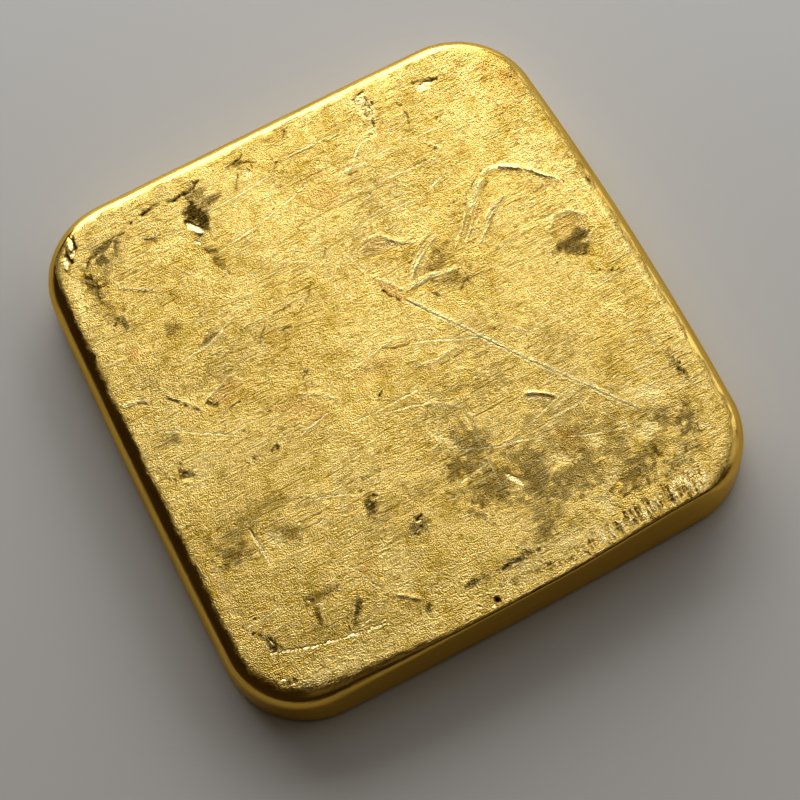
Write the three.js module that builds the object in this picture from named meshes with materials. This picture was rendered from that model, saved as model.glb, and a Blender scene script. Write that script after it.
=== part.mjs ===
// A square gold bar as it comes out of an open mould, lying with its mould face up.
//
// The bar is one piece of cast metal. Its outline is a rounded square whose sides bow out a little.
// The walls lean in by the mould's draft, so the bar is widest just above the surface that it lies
// on. A round shoulder joins them to the flat mould face, and most of the front edge is crisper.
//
// Millimetres. X runs to the right, Y to the back, Z up. The origin is the middle of the underside.

import * as THREE from 'three';

// Overall size, over the bows of the sides.
const WIDTH = 50;
const LENGTH = 51.1;
const THICKNESS = 6.7;

// How far the middle of each side stands proud of the line through its two ends.
const BOW = { right: 0.5, back: 0.05, left: 0.2, front: 0.2 };

// The four corners in plan.
const CORNER_RADIUS = { backRight: 8.3, backLeft: 8, frontLeft: 7.7, frontRight: 7.5 };

// The edge of the bar in section.
const DRAFT_ANGLE = THREE.MathUtils.degToRad(7);
const FOOT_RADIUS = 0.8;
const SHOULDER_RADIUS = 2.1;
const CRISP_RADIUS = 0.45;

// The front edge turns from round to crisp between these two places along X.
const CRISP_STARTS_X = -21;
const CRISP_FULL_X = -3;
// How fast the crisp edge becomes round again where the outline turns into the right side.
const CRISP_TURN_POWER = 24;

// The rim of the front wall leans in a little more towards the right.
const FRONT_LEAN = 0.35;
const LEAN_STARTS_X = 3;
const LEAN_FULL_X = 15;

// How finely the curves are divided.
const CORNER_STEPS = 12;
const SIDE_STEPS = 12;
const FOOT_STEPS = 4;
const SHOULDER_STEPS = 8;

const QUARTER_TURN = Math.PI / 2;

// The outline at the bar's widest level, counterclockwise from the right end of the back corner:
// four corner arcs, each followed by the side that leads to the next corner.
function widestOutline() {
  const right = WIDTH / 2 - BOW.right;
  const back = LENGTH / 2 - BOW.back;
  const left = -WIDTH / 2 + BOW.left;
  const front = -LENGTH / 2 + BOW.front;
  const corners = [
    { x: right, y: back, radius: CORNER_RADIUS.backRight, nextBow: BOW.back },
    { x: left, y: back, radius: CORNER_RADIUS.backLeft, nextBow: BOW.left },
    { x: left, y: front, radius: CORNER_RADIUS.frontLeft, nextBow: BOW.front },
    { x: right, y: front, radius: CORNER_RADIUS.frontRight, nextBow: BOW.right },
  ];
  const arcs = corners.map(({ x, y, radius }, index) => {
    const centreX = x - Math.sign(x) * radius;
    const centreY = y - Math.sign(y) * radius;
    const from = index * QUARTER_TURN;
    return new THREE.EllipseCurve(centreX, centreY, radius, radius, from, from + QUARTER_TURN);
  });
  return arcs.flatMap((arc, index) => {
    const start = arc.getPoint(1);
    const end = arcs[(index + 1) % arcs.length].getPoint(0);
    const outwardAngle = (index + 1) * QUARTER_TURN;
    const outward = new THREE.Vector2(Math.cos(outwardAngle), Math.sin(outwardAngle));
    // A quadratic curve reaches half as far as its control point.
    const control = start.clone().lerp(end, 0.5).addScaledVector(outward, 2 * corners[index].nextBow);
    return [arc, new THREE.QuadraticBezierCurve(start, control, end)];
  });
}

// Points along the outline, each with the direction that points out of the bar there.
function outlineStations(curves) {
  const points = [];
  for (const curve of curves) {
    const steps = curve.isEllipseCurve ? CORNER_STEPS : SIDE_STEPS;
    for (let step = 0; step < steps; step += 1) {
      points.push(curve.getPoint(step / steps));
    }
  }
  return points.map((point, index) => {
    const before = points[(index + points.length - 1) % points.length];
    const after = points[(index + 1) % points.length];
    const along = after.clone().sub(before).normalize();
    return { point, outward: new THREE.Vector2(along.y, -along.x) };
  });
}

// Rises from 0 to 1 along the front edge between the two places on X, and is 0 on the other sides.
function frontShare({ point, outward }, startsX, fullX) {
  const facesFront = Math.max(0, -outward.y) ** CRISP_TURN_POWER;
  return facesFront * THREE.MathUtils.smoothstep(point.x, startsX, fullX);
}

// The edge in section, from the underside up: how far inside the widest outline, and how high.
// The radius between wall and mould face is small on most of the front edge, full size elsewhere.
function edgeProfile(station) {
  const crispness = frontShare(station, CRISP_STARTS_X, CRISP_FULL_X);
  const radius = THREE.MathUtils.lerp(SHOULDER_RADIUS, CRISP_RADIUS, crispness);
  const profile = [];
  for (let step = 0; step <= FOOT_STEPS; step += 1) {
    const angle = THREE.MathUtils.lerp(-QUARTER_TURN, DRAFT_ANGLE, step / FOOT_STEPS);
    profile.push({
      inset: FOOT_RADIUS * (1 - Math.cos(angle)),
      height: FOOT_RADIUS * (1 + Math.sin(angle)),
    });
  }
  const wallFoot = profile[profile.length - 1];
  const wallTop = THICKNESS - radius * (1 - Math.sin(DRAFT_ANGLE));
  const wallLean = (wallTop - wallFoot.height) * Math.tan(DRAFT_ANGLE);
  const centreInset = wallFoot.inset + wallLean + radius * Math.cos(DRAFT_ANGLE);
  for (let step = 0; step <= SHOULDER_STEPS; step += 1) {
    const angle = THREE.MathUtils.lerp(DRAFT_ANGLE, QUARTER_TURN, step / SHOULDER_STEPS);
    profile.push({
      inset: centreInset - radius * Math.cos(angle),
      height: THICKNESS - radius * (1 - Math.sin(angle)),
    });
  }
  const lean = FRONT_LEAN * frontShare(station, LEAN_STARTS_X, LEAN_FULL_X);
  for (const level of profile) {
    level.inset += lean * (level.height / THICKNESS);
  }
  return profile;
}

// A closed skin: one ring of points round the bar for each level of the profile, and a flat face
// fanned out from the middle of the first and the last ring.
function barGeometry() {
  const stations = outlineStations(widestOutline());
  const profiles = stations.map(edgeProfile);
  const count = stations.length;
  const levels = profiles[0].length;

  const positions = [];
  for (let level = 0; level < levels; level += 1) {
    stations.forEach(({ point, outward }, index) => {
      const { inset, height } = profiles[index][level];
      positions.push(point.x - outward.x * inset, point.y - outward.y * inset, height);
    });
  }
  const underside = count * levels;
  const mouldFace = underside + 1;
  positions.push(0, 0, 0);
  positions.push(0, 0, THICKNESS);

  const triangles = [];
  const lastRing = count * (levels - 1);
  for (let index = 0; index < count; index += 1) {
    const next = (index + 1) % count;
    for (let level = 0; level < levels - 1; level += 1) {
      const lower = count * level;
      const upper = lower + count;
      triangles.push(lower + index, lower + next, upper + next);
      triangles.push(lower + index, upper + next, upper + index);
    }
    triangles.push(underside, next, index);
    triangles.push(mouldFace, lastRing + index, lastRing + next);
  }

  const geometry = new THREE.BufferGeometry();
  geometry.setAttribute('position', new THREE.Float32BufferAttribute(positions, 3));
  geometry.setIndex(triangles);
  geometry.computeVertexNormals();
  return geometry;
}

const gold = new THREE.MeshStandardMaterial({ color: '#cfaf5c', roughness: 0.35, metalness: 1 });

const castBar = new THREE.Mesh(barGeometry(), gold);
castBar.name = 'cast_bar';

const bar = new THREE.Group();
bar.name = 'gold_bar';
bar.add(castBar);

export default bar;
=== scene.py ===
"""Looks for a square cast gold bar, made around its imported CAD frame.

The bar's mesh repeats the CAD outline and edge section at a finer step, and adds the marks that
casting and handling have left: folds, dents, gouges, scratches, pits and crumbled rims on the mould
face, and ripples on the pour face underneath. Lengths are in millimetres until the mesh is made.
X runs to the right, Y to the back, Z up.
"""

import math

import bpy
import numpy as np
from mathutils import Euler, Matrix, Vector


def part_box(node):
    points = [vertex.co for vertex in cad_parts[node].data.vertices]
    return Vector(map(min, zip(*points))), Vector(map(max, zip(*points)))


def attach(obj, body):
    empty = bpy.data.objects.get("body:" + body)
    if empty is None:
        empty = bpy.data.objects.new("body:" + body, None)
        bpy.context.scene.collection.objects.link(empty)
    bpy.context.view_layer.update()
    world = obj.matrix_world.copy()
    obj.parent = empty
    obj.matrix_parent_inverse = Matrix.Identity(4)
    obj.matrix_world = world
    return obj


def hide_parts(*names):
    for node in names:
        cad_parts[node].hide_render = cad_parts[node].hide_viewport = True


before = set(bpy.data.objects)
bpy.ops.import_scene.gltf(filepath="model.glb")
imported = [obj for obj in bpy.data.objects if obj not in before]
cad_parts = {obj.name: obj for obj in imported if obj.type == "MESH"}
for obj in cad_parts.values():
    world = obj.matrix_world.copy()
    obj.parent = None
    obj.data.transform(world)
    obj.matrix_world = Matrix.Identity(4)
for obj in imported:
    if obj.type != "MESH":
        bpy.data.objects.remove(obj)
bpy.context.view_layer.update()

MM = 0.001
NODE = "cast_bar"
node_low, node_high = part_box(NODE)
WIDTH, LENGTH, THICKNESS = (node_high - node_low) / MM


# ------------------------------------------------------------------ camera, floor and light

CAMERA_TARGET = (-1.24, -5.1, THICKNESS)
CAMERA_DISTANCE = 123.3
CAMERA_AZIMUTH = math.radians(-19.2)
CAMERA_ELEVATION = math.radians(71.95)
CAMERA_ROLL = math.radians(-8.89)
CAMERA_LENS = 65.25
CAMERA_SENSOR = 36
CAMERA_CLIP_START = 0.001


def toward(azimuth, elevation):
    """The direction of something seen from the bar: azimuth 0 is the front, 90 the right side."""
    level = math.cos(elevation)
    return Vector((math.sin(azimuth) * level, -math.cos(azimuth) * level, math.sin(elevation)))


def make_camera():
    data = bpy.data.cameras.new("camera")
    data.lens = CAMERA_LENS
    data.sensor_width = CAMERA_SENSOR
    data.clip_start = CAMERA_CLIP_START
    camera = bpy.data.objects.new("camera", data)
    bpy.context.scene.collection.objects.link(camera)
    back = toward(CAMERA_AZIMUTH, CAMERA_ELEVATION)
    place = (Vector(CAMERA_TARGET) + back * CAMERA_DISTANCE) * MM
    turn = back.to_track_quat("Z", "Y").to_matrix() @ Matrix.Rotation(CAMERA_ROLL, 3, "Z")
    camera.matrix_world = Matrix.Translation(place) @ turn.to_4x4()
    bpy.context.scene.camera = camera


def soft_light(name, azimuth, elevation, distance, size, radiance):
    """A rectangular soft box at that place round the bar, facing it. Lengths in metres."""
    data = bpy.data.lights.new(name, "AREA")
    data.shape = "RECTANGLE"
    data.size, data.size_y = size
    data.energy = radiance * math.pi * data.size * data.size_y
    light = bpy.data.objects.new(name, data)
    bpy.context.scene.collection.objects.link(light)
    back = toward(math.radians(azimuth), math.radians(elevation))
    turn = back.to_track_quat("Z", "Y").to_matrix().to_4x4()
    light.matrix_world = Matrix.Translation(back * distance) @ turn
    light.visible_camera = False


# The floor is a disc that ends in front of the light boxes, where it is still bright. In metres.
FLOOR_RADIUS = 0.37
FLOOR_SIDES = 180
FLOOR_COLOUR = (0.6, 0.6, 0.6, 1)
FLOOR_ROUGHNESS = 0.6

# What the metal reflects beyond the light boxes, and what the camera sees behind the floor.
STUDIO_GLOW = (0.04, 0.027, 0.008, 1)
BACKDROP = (0.42, 0.41, 0.39, 1)

# Each light box: azimuth and elevation in degrees, distance and size in metres, and radiance.
LIGHTS = {
    "key": (163, 26, 0.45, (0.6, 0.38), 2.4),
    "sky": (173, 75, 0.45, (0.34, 0.33), 0.51),
    "right": (100, 28, 0.4, (0.34, 0.36), 0.85),
    "corner": (62, 24, 0.4, (0.15, 0.36), 0.35),
    "front": (0, 38, 0.45, (0.4, 0.2), 0.08),
}

# A Mix node's sockets for colours and for numbers. They share their names, so they go by number.
MIX_A, MIX_B, MIX_RESULT = 6, 7, 2
NUMBER_A, NUMBER_B = 2, 3


def make_stage():
    mesh = bpy.data.meshes.new("floor")
    turns = [math.tau * step / FLOOR_SIDES for step in range(FLOOR_SIDES)]
    rim = [(FLOOR_RADIUS * math.cos(turn), FLOOR_RADIUS * math.sin(turn), 0) for turn in turns]
    mesh.from_pydata(rim, [], [range(FLOOR_SIDES)])
    floor = bpy.data.objects.new("floor", mesh)
    bpy.context.scene.collection.objects.link(floor)
    material = bpy.data.materials.new("floor")
    material.use_nodes = True
    shader = material.node_tree.nodes["Principled BSDF"]
    shader.inputs["Base Color"].default_value = FLOOR_COLOUR
    shader.inputs["Roughness"].default_value = FLOOR_ROUGHNESS
    mesh.materials.append(material)

    world = bpy.data.worlds.new("studio")
    world.use_nodes = True
    tree = world.node_tree
    background = tree.nodes["Background"]
    path = tree.nodes.new("ShaderNodeLightPath")
    mix = tree.nodes.new("ShaderNodeMix")
    mix.data_type = "RGBA"
    mix.inputs[MIX_A].default_value = STUDIO_GLOW
    mix.inputs[MIX_B].default_value = BACKDROP
    tree.links.new(path.outputs["Is Camera Ray"], mix.inputs[0])
    tree.links.new(mix.outputs[MIX_RESULT], background.inputs["Color"])
    bpy.context.scene.world = world

    for name, settings in LIGHTS.items():
        soft_light(name, *settings)


make_camera()
make_stage()
bpy.context.scene.view_settings.view_transform = "Standard"
bpy.context.scene.view_settings.look = "High Contrast"


# ------------------------------------------------------------------ the bar's form

# Each corner, counterclockwise from the front left: where it is, its radius, and how far the side
# that follows it bows out.
CORNERS = (
    (-1, -1, 7.7, 0.2),
    (1, -1, 7.5, 0.5),
    (1, 1, 8.3, 0.05),
    (-1, 1, 8.0, 0.2),
)
BOW_FRONT, BOW_RIGHT, BOW_BACK, BOW_LEFT = (corner[3] for corner in CORNERS)

DRAFT = math.radians(7)
FOOT_RADIUS = 0.8
SHOULDER_RADIUS = 2.1
CRISP_RADIUS = 0.45
CRISP_STARTS_X = -21
CRISP_FULL_X = -3
CRISP_TURN_POWER = 24

# The rim of the front wall leans in a little more towards the right.
FRONT_LEAN = 0.35
LEAN_STARTS_X = 3
LEAN_FULL_X = 15

# How finely the form is divided: cells along each side of the face, how many of them one cell of
# the underside spans, and how far inside the edge the underside's coarser ring lies.
CELLS = 540
UNDER_RATIO = 3
UNDER_RING_INSET = 0.4
OUTLINE_SAMPLES = 200
FOOT_STEPS = 5
WALL_STEPS = 14
SHOULDER_STEPS = 20

# The mould face lies this far under the top of the box, which its highest burrs reach.
FACE_SINK = 0.2


def smooth(low, high, value):
    """0 below low, 1 above high, and an even curve between."""
    t = np.clip((value - low) / (high - low), 0, 1)
    return t * t * (3 - 2 * t)


def blend(a, b, share):
    return a + (b - a) * share


def outline():
    """Stations round the widest level, CELLS to a side, from the middle of the front left corner."""
    sides_x = {-1: -WIDTH / 2 + BOW_LEFT, 1: WIDTH / 2 - BOW_RIGHT}
    sides_y = {-1: -LENGTH / 2 + BOW_FRONT, 1: LENGTH / 2 - BOW_BACK}
    fine = np.linspace(0, 1, OUTLINE_SAMPLES)

    def corner_arc(index, first, last):
        along_x, along_y, radius, _ = CORNERS[index % 4]
        angle = math.pi + (index % 4 + blend(first, last, fine)) * math.pi / 2
        centre = np.array([sides_x[along_x] - along_x * radius, sides_y[along_y] - along_y * radius])
        return centre + radius * np.stack([np.cos(angle), np.sin(angle)], 1)

    stations = []
    for index in range(4):
        leaving = corner_arc(index, 0.5, 1)
        arriving = corner_arc(index + 1, 0, 0.5)
        start, end = leaving[-1], arriving[0]
        out_angle = -math.pi / 2 + index * math.pi / 2
        out = np.array([math.cos(out_angle), math.sin(out_angle)])
        share = fine[1:-1, None]
        # A parabola that stands the bow's height proud in its middle.
        side = blend(start, end, share) + out * CORNERS[index][3] * 4 * share * (1 - share)
        run = np.concatenate([leaving, side, arriving])
        length = np.concatenate([[0], np.cumsum(np.hypot(*np.diff(run, axis=0).T))])
        even = np.linspace(0, length[-1], CELLS + 1)[:-1]
        stations.append(np.stack([np.interp(even, length, run[:, axis]) for axis in (0, 1)], 1))
    stations = np.concatenate(stations)
    step = np.roll(stations, -1, 0) - np.roll(stations, 1, 0)
    step /= np.hypot(*step.T)[:, None]
    return stations, np.stack([step[:, 1], -step[:, 0]], 1)


def edge_section(radius):
    """Inset, height and the normal's slope for each level of the edge, from the underside up.
    Each is an array of levels by stations."""
    insets, heights, slopes = [], [], []
    for angle in np.linspace(-math.pi / 2, DRAFT, FOOT_STEPS + 1):
        insets.append(np.full_like(radius, FOOT_RADIUS * (1 - math.cos(angle))))
        heights.append(np.full_like(radius, FOOT_RADIUS * (1 + math.sin(angle))))
        slopes.append(angle)
    top = THICKNESS - FACE_SINK
    wall_top = top - radius * (1 - math.sin(DRAFT))
    wall_inset = insets[-1] + (wall_top - heights[-1]) * math.tan(DRAFT)
    wall_foot = insets[-1], heights[-1]
    for share in np.linspace(0, 1, WALL_STEPS + 1)[1:]:
        insets.append(blend(wall_foot[0], wall_inset, share))
        heights.append(blend(wall_foot[1], wall_top, share))
        slopes.append(DRAFT)
    centre = wall_inset + radius * math.cos(DRAFT)
    for angle in np.linspace(DRAFT, math.pi / 2, SHOULDER_STEPS + 1)[1:]:
        insets.append(centre - radius * math.cos(angle))
        heights.append(top - radius * (1 - math.sin(angle)))
        slopes.append(angle)
    return np.array(insets), np.array(heights), np.array(slopes)


def filled(ring, cells):
    """A square grid of points inside a closed ring of 4 * cells points, as an even Coons patch."""
    front = ring[: cells + 1]
    right = ring[cells : 2 * cells + 1]
    back = ring[2 * cells : 3 * cells + 1][::-1]
    left = np.concatenate([ring[3 * cells :], ring[:1]])[::-1]
    u = np.linspace(0, 1, cells + 1)[None, :, None]
    v = np.linspace(0, 1, cells + 1)[:, None, None]
    between_sides = blend(left[:, None], right[:, None], u)
    between_ends = blend(front[None], back[None], v)
    corners = blend(blend(front[0], front[-1], u), blend(back[0], back[-1], u), v)
    return between_sides + between_ends - corners


def ring_grid(first, ring_indices, cells):
    """Vertex numbers of a grid whose border is the ring and whose inner points start at first."""
    grid = np.empty((cells + 1, cells + 1), int)
    grid[0, :] = ring_indices[: cells + 1]
    grid[:, -1] = ring_indices[cells : 2 * cells + 1]
    grid[-1, ::-1] = ring_indices[2 * cells : 3 * cells + 1]
    grid[::-1, 0] = np.append(ring_indices[3 * cells :], ring_indices[0])
    inner = (cells - 1) ** 2
    grid[1:-1, 1:-1] = first + np.arange(inner).reshape(cells - 1, cells - 1)
    return grid


def grid_faces(grid):
    return np.stack([grid[:-1, :-1], grid[:-1, 1:], grid[1:, 1:], grid[1:, :-1]], -1).reshape(-1, 4)


def bar_form():
    """The plain form: vertices, normals, and faces as lists of four or three vertex numbers."""
    stations, outward = outline()
    facing_front = np.clip(-outward[:, 1], 0, 1) ** CRISP_TURN_POWER
    crisp = facing_front * smooth(CRISP_STARTS_X, CRISP_FULL_X, stations[:, 0])
    insets, heights, slopes = edge_section(blend(SHOULDER_RADIUS, CRISP_RADIUS, crisp))
    lean = FRONT_LEAN * facing_front * smooth(LEAN_STARTS_X, LEAN_FULL_X, stations[:, 0])
    insets = insets + lean * np.clip(heights / THICKNESS, 0, 1)
    count = len(stations)
    levels = len(slopes)

    plan = stations[None] - outward[None] * insets[..., None]
    skin = np.concatenate([plan, heights[..., None]], -1)
    flat = np.broadcast_to(outward, (levels, count, 2)) * np.cos(slopes)[:, None, None]
    rise = np.broadcast_to(np.sin(slopes)[:, None, None], (levels, count, 1))
    skin_normals = np.concatenate([flat, rise], -1)

    rings = np.arange(levels * count).reshape(levels, count)
    after = np.roll(rings, -1, 1)
    quads = [np.stack([rings[:-1], after[:-1], after[1:], rings[1:]], -1).reshape(-1, 4)]

    face = filled(skin[-1], CELLS)
    face_inner = face[1:-1, 1:-1].reshape(-1, 3)
    quads.append(grid_faces(ring_grid(levels * count, rings[-1], CELLS)))

    under_cells = CELLS // UNDER_RATIO
    under_first = levels * count + len(face_inner)
    under_ring = skin[0, ::UNDER_RATIO].copy()
    under_ring[:, :2] -= outward[::UNDER_RATIO] * UNDER_RING_INSET
    under_numbers = under_first + np.arange(len(under_ring))
    under = filled(under_ring, under_cells)
    under_inner = under[1:-1, 1:-1].reshape(-1, 3)
    under_grid = ring_grid(under_first + len(under_ring), under_numbers, under_cells)
    quads.append(grid_faces(under_grid)[:, ::-1])

    triangles = []
    for index, number in enumerate(under_numbers):
        following = under_numbers[(index + 1) % len(under_numbers)]
        fine = [rings[0, (index * UNDER_RATIO + k) % count] for k in range(UNDER_RATIO + 1)]
        triangles.append((fine[1], fine[0], number))
        triangles.append((fine[1], number, following))
        triangles.extend((fine[k + 1], fine[k], following) for k in range(1, UNDER_RATIO))

    vertices = np.concatenate([skin.reshape(-1, 3), face_inner, under_ring, under_inner])
    up = np.broadcast_to([0.0, 0.0, 1.0], face_inner.shape)
    down = np.broadcast_to([0.0, 0.0, -1.0], (len(under_ring) + len(under_inner), 3))
    normals = np.concatenate([skin_normals.reshape(-1, 3), up, down])
    return vertices, normals, np.concatenate(quads), np.array(triangles)


# ------------------------------------------------------------------ noise

HASH = (np.uint32(73856093), np.uint32(19349663), np.uint32(83492791))
HASH_MIX = np.uint32(2654435761)
HASH_SEED_STEP = 7919
HASH_SEED_START = 17
HASH_SHIFTS = (15, 13)
HASH_LAST_SHIFT = 16
HASH_HALF_RANGE = 2147483647.5
# Turns the noise's cells out of line with the bar.
CELL_TURN = np.array(Euler((0.6, 0.4, 0.7)).to_matrix())


def lattice(ix, iy, iz, seed):
    """A fixed random number from -1 to 1 for each cell corner."""
    mixed = (ix.astype(np.uint32) * HASH[0]) ^ (iy.astype(np.uint32) * HASH[1])
    mixed ^= iz.astype(np.uint32) * HASH[2]
    mixed ^= np.uint32(seed * HASH_SEED_STEP + HASH_SEED_START)
    for shift in HASH_SHIFTS:
        mixed = (mixed ^ (mixed >> np.uint32(shift))) * HASH_MIX
    mixed ^= mixed >> np.uint32(HASH_LAST_SHIFT)
    return mixed.astype(np.float64) / HASH_HALF_RANGE - 1


def noise(points, cell, seed):
    """Smooth value noise from -1 to 1, with features about one cell across."""
    scaled = (points / np.asarray(cell, float)) @ CELL_TURN
    base = np.floor(scaled)
    part = scaled - base
    # The even quintic curve from 0 to 1.
    part = part * part * part * (part * (part * 6 - 15) + 10)
    base = base.astype(np.int64)
    total = 0
    for corner in range(8):
        offset = np.array([corner & 1, corner >> 1 & 1, corner >> 2 & 1])
        weight = np.prod(np.where(offset, part, 1 - part), 1)
        total = total + weight * lattice(*(base + offset).T, seed)
    return total


def layered(points, cell, seed, layers=4, gain=0.5):
    """Noise at halving cell sizes."""
    total, strength = 0, 1
    for layer in range(layers):
        total = total + strength * noise(points, np.asarray(cell, float) / 2**layer, seed + layer)
        strength *= gain
    return total


# ------------------------------------------------------------------ marks on the mould face

# Places are x, y. An oval is its centre's x and y, its two radii and its angle in degrees. A path is
# x, y, x, y and so on. Noises are given as cell size, seed, and then layers and gain where they
# have layers.

# How far marks wander from their drawn places.
WANDER = 0.045
WANDER_X_NOISE = (0.8, 11, 3)
WANDER_Y_NOISE = (0.8, 21, 3)
# The raggedness of every rim, and how unevenly lines have worn.
GRIT_NOISE = (0.5, 31, 4, 0.62)
WEAR_NOISE = (0.9, 41, 3)
WEAR_MEAN, WEAR_SWING = 0.8, 0.5
WEAR_LIMITS = (0.25, 1.25)

# Each corner of a path is cut off at this share of its two sides.
CORNER_CUT = 0.25
# How much farther than its radius an oval may reach.
OVAL_REACH = 1.8

# Folds, in their own widths: how far they reach, and the painted shadow line below their steep side.
FOLD_REACH = 4
FOLD_SHADOW_OFFSET = 0.35
FOLD_SHADOW_WIDTH = 0.45

# Cracks: how they wander, break, swell and end, and how deep one is for its width.
CRACK_REACH = 5
CRACK_TAPER = 0.06
CRACK_JAG = ((0.1, 0.5, 71), (0.06, 0.2, 72))
CRACK_GAP_NOISE = (0.45, 73)
CRACK_GAP_EDGE = 0.45
CRACK_SPREAD = 1.3
CRACK_SWELL = 0.5
CRACK_SWELL_NOISE = (0.3, 74)
CRACK_STRENGTH = 1.2
CRACK_DEPTH_SHARE = 0.6

# Dents: raggedness, where the bowl is deepest, and the place and width of the rim.
DENT_RAGGED = 0.12
DENT_BOTTOM = 0.25
DENT_RIM, DENT_RIM_WIDTH = 1.05, 0.16
# Facets: raggedness, and where their edge starts.
FACET_RAGGED = 0.1
FACET_EDGE = 0.75
# Pale places: raggedness, where their edge starts and ends, and how much tarnish they lose.
PALE_RAGGED = 0.5
PALE_EDGE = (0.6, 1.3)
PALE_CLEAN = 0.8
# Crumbled places: raggedness, edge, the crumbs' noise and the limits of their height, and which of
# them are painted pale as highlights and which painted dark as shade.
CRUMBLE_RAGGED = 0.35
CRUMBLE_EDGE = (0.5, 1.1)
CRUMBLE_NOISE = (61, 3, 0.6)
CRUMBLE_LIMITS = (-1, 0.5)
CRUMBLE_SHINY = (0.1, 0.5)
CRUMBLE_DARK = (0.4, 0.8)


def rounded(path):
    """The path with its corners cut twice."""
    path = np.array(path, float).reshape(-1, 2)
    for _ in range(2):
        near, far = path[:-1], path[1:]
        cut = np.stack([blend(near, far, CORNER_CUT), blend(near, far, 1 - CORNER_CUT)], 1)
        path = np.concatenate([path[:1], cut.reshape(-1, 2), path[-1:]])
    return path


def bell(distance, width):
    return np.exp(-((distance / width) ** 2))


class Face:
    """The vertices that the marks may touch, with the height, tarnish and painted shade, polish and
    painted highlight, and warmth of each.
    """

    def __init__(self, points):
        self.points = points
        self.x, self.y = points[:, 0], points[:, 1]
        self.warp_x = self.x + WANDER * layered(points, *WANDER_X_NOISE)
        self.warp_y = self.y + WANDER * layered(points, *WANDER_Y_NOISE)
        self.grit = layered(points, *GRIT_NOISE)
        self.wear = np.clip(WEAR_MEAN + WEAR_SWING * layered(points, *WEAR_NOISE), *WEAR_LIMITS)
        self.height = np.zeros(len(points))
        self.tarnish_and_shade = np.zeros(len(points))
        self.polish_and_highlight = np.zeros(len(points))
        self.warm = np.zeros(len(points))

    def near(self, low, high, margin):
        inside = (self.x > low[0] - margin) & (self.x < high[0] + margin)
        inside &= (self.y > low[1] - margin) & (self.y < high[1] + margin)
        return np.nonzero(inside)[0]

    def paint(self, layer, pick, amount):
        layer[pick] = np.maximum(layer[pick], amount)

    def line(self, path, margin, taper, worn=1):
        """Vertices near a path, their distance left (+) or right (-) of it, and its strength there."""
        path = rounded(path)
        pick = self.near(path.min(0), path.max(0), margin)
        x, y = self.warp_x[pick], self.warp_y[pick]
        lengths = np.hypot(*np.diff(path, axis=0).T)
        total = lengths.sum()
        best = np.full(len(pick), np.inf)
        side = np.zeros(len(pick))
        share = np.zeros(len(pick))
        run = 0
        for (x0, y0), (x1, y1), length in zip(path[:-1], path[1:], lengths):
            ux, uy = (x1 - x0) / length, (y1 - y0) / length
            along = np.clip((x - x0) * ux + (y - y0) * uy, 0, length)
            dx, dy = x - x0 - along * ux, y - y0 - along * uy
            distance = np.hypot(dx, dy)
            closer = distance < best
            best[closer] = distance[closer]
            side[closer] = (ux * dy - uy * dx)[closer]
            share[closer] = ((run + along) / total)[closer]
            run += length
        ends = smooth(0, taper, share) * smooth(0, taper, 1 - share)
        return pick, np.copysign(best, side), ends * blend(1, self.wear[pick], worn)

    def oval(self, oval):
        """Vertices near an oval, and their distance from its centre, 1 at its rim."""
        x, y, length, width, angle = oval
        centre = np.array([x, y], float)
        pick = self.near(centre, centre, OVAL_REACH * max(length, width))
        turn = math.radians(angle)
        dx, dy = self.warp_x[pick] - x, self.warp_y[pick] - y
        u = (dx * math.cos(turn) + dy * math.sin(turn)) / length
        v = (dy * math.cos(turn) - dx * math.sin(turn)) / width
        return pick, np.hypot(u, v)

    def fold(self, path, width=0.13, height=0.03, shine=1, shadow=0.3, steep=0.6, taper=0.1,
             worn=1):
        """A lap or burr: it rises slowly on the left of the path and drops sharply on the right. Its
        crest is painted pale as a highlight, and a painted shadow line runs below the steep side.
        """
        pick, distance, strength = self.line(path, FOLD_REACH * width, taper, worn)
        crest = strength * bell(distance, np.where(distance > 0, width, steep * width))
        self.height[pick] += height * crest
        self.paint(self.polish_and_highlight, pick, shine * crest)
        below = bell(distance + (steep + FOLD_SHADOW_OFFSET) * width, FOLD_SHADOW_WIDTH * width)
        self.paint(self.tarnish_and_shade, pick, shadow * strength * below)

    def crack(self, path, width, depth, darkness, gaps):
        """A dark line, broken where gaps is high."""
        pick, distance, strength = self.line(path, CRACK_REACH * width, CRACK_TAPER)
        points = self.points[pick]
        jag = sum(size * noise(points, *settings) for size, *settings in CRACK_JAG)
        whole = smooth(gaps - CRACK_GAP_EDGE, gaps, noise(points, *CRACK_GAP_NOISE))
        swell = 1 + CRACK_SWELL * noise(points, *CRACK_SWELL_NOISE)
        line = bell(distance + jag, CRACK_SPREAD * width * swell)
        cut = np.minimum(CRACK_STRENGTH * strength, 1) * whole * line
        self.height[pick] -= depth * cut
        self.paint(self.tarnish_and_shade, pick, darkness * cut)

    def dent(self, oval, depth, rim, darkness=0):
        """A bowl with a raised rim."""
        pick, reach = self.oval(oval)
        reach = reach + DENT_RAGGED * self.grit[pick]
        bowl = 1 - smooth(DENT_BOTTOM, 1, reach)
        self.height[pick] += rim * bell(reach - DENT_RIM, DENT_RIM_WIDTH) - depth * bowl
        self.paint(self.tarnish_and_shade, pick, darkness * bowl)

    def facet(self, oval, slopes, shine=1):
        """A flat shiny spot that leans towards +X and +Y by its two slopes, painted pale as a
        highlight.
        """
        pick, reach = self.oval(oval)
        inside = 1 - smooth(FACET_EDGE, 1, reach + FACET_RAGGED * self.grit[pick])
        slope = (self.x[pick] - oval[0]) * slopes[0] + (self.y[pick] - oval[1]) * slopes[1]
        self.height[pick] = blend(self.height[pick], -slope, inside)
        self.paint(self.polish_and_highlight, pick, shine * inside)
        self.tarnish_and_shade[pick] *= 1 - inside

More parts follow.
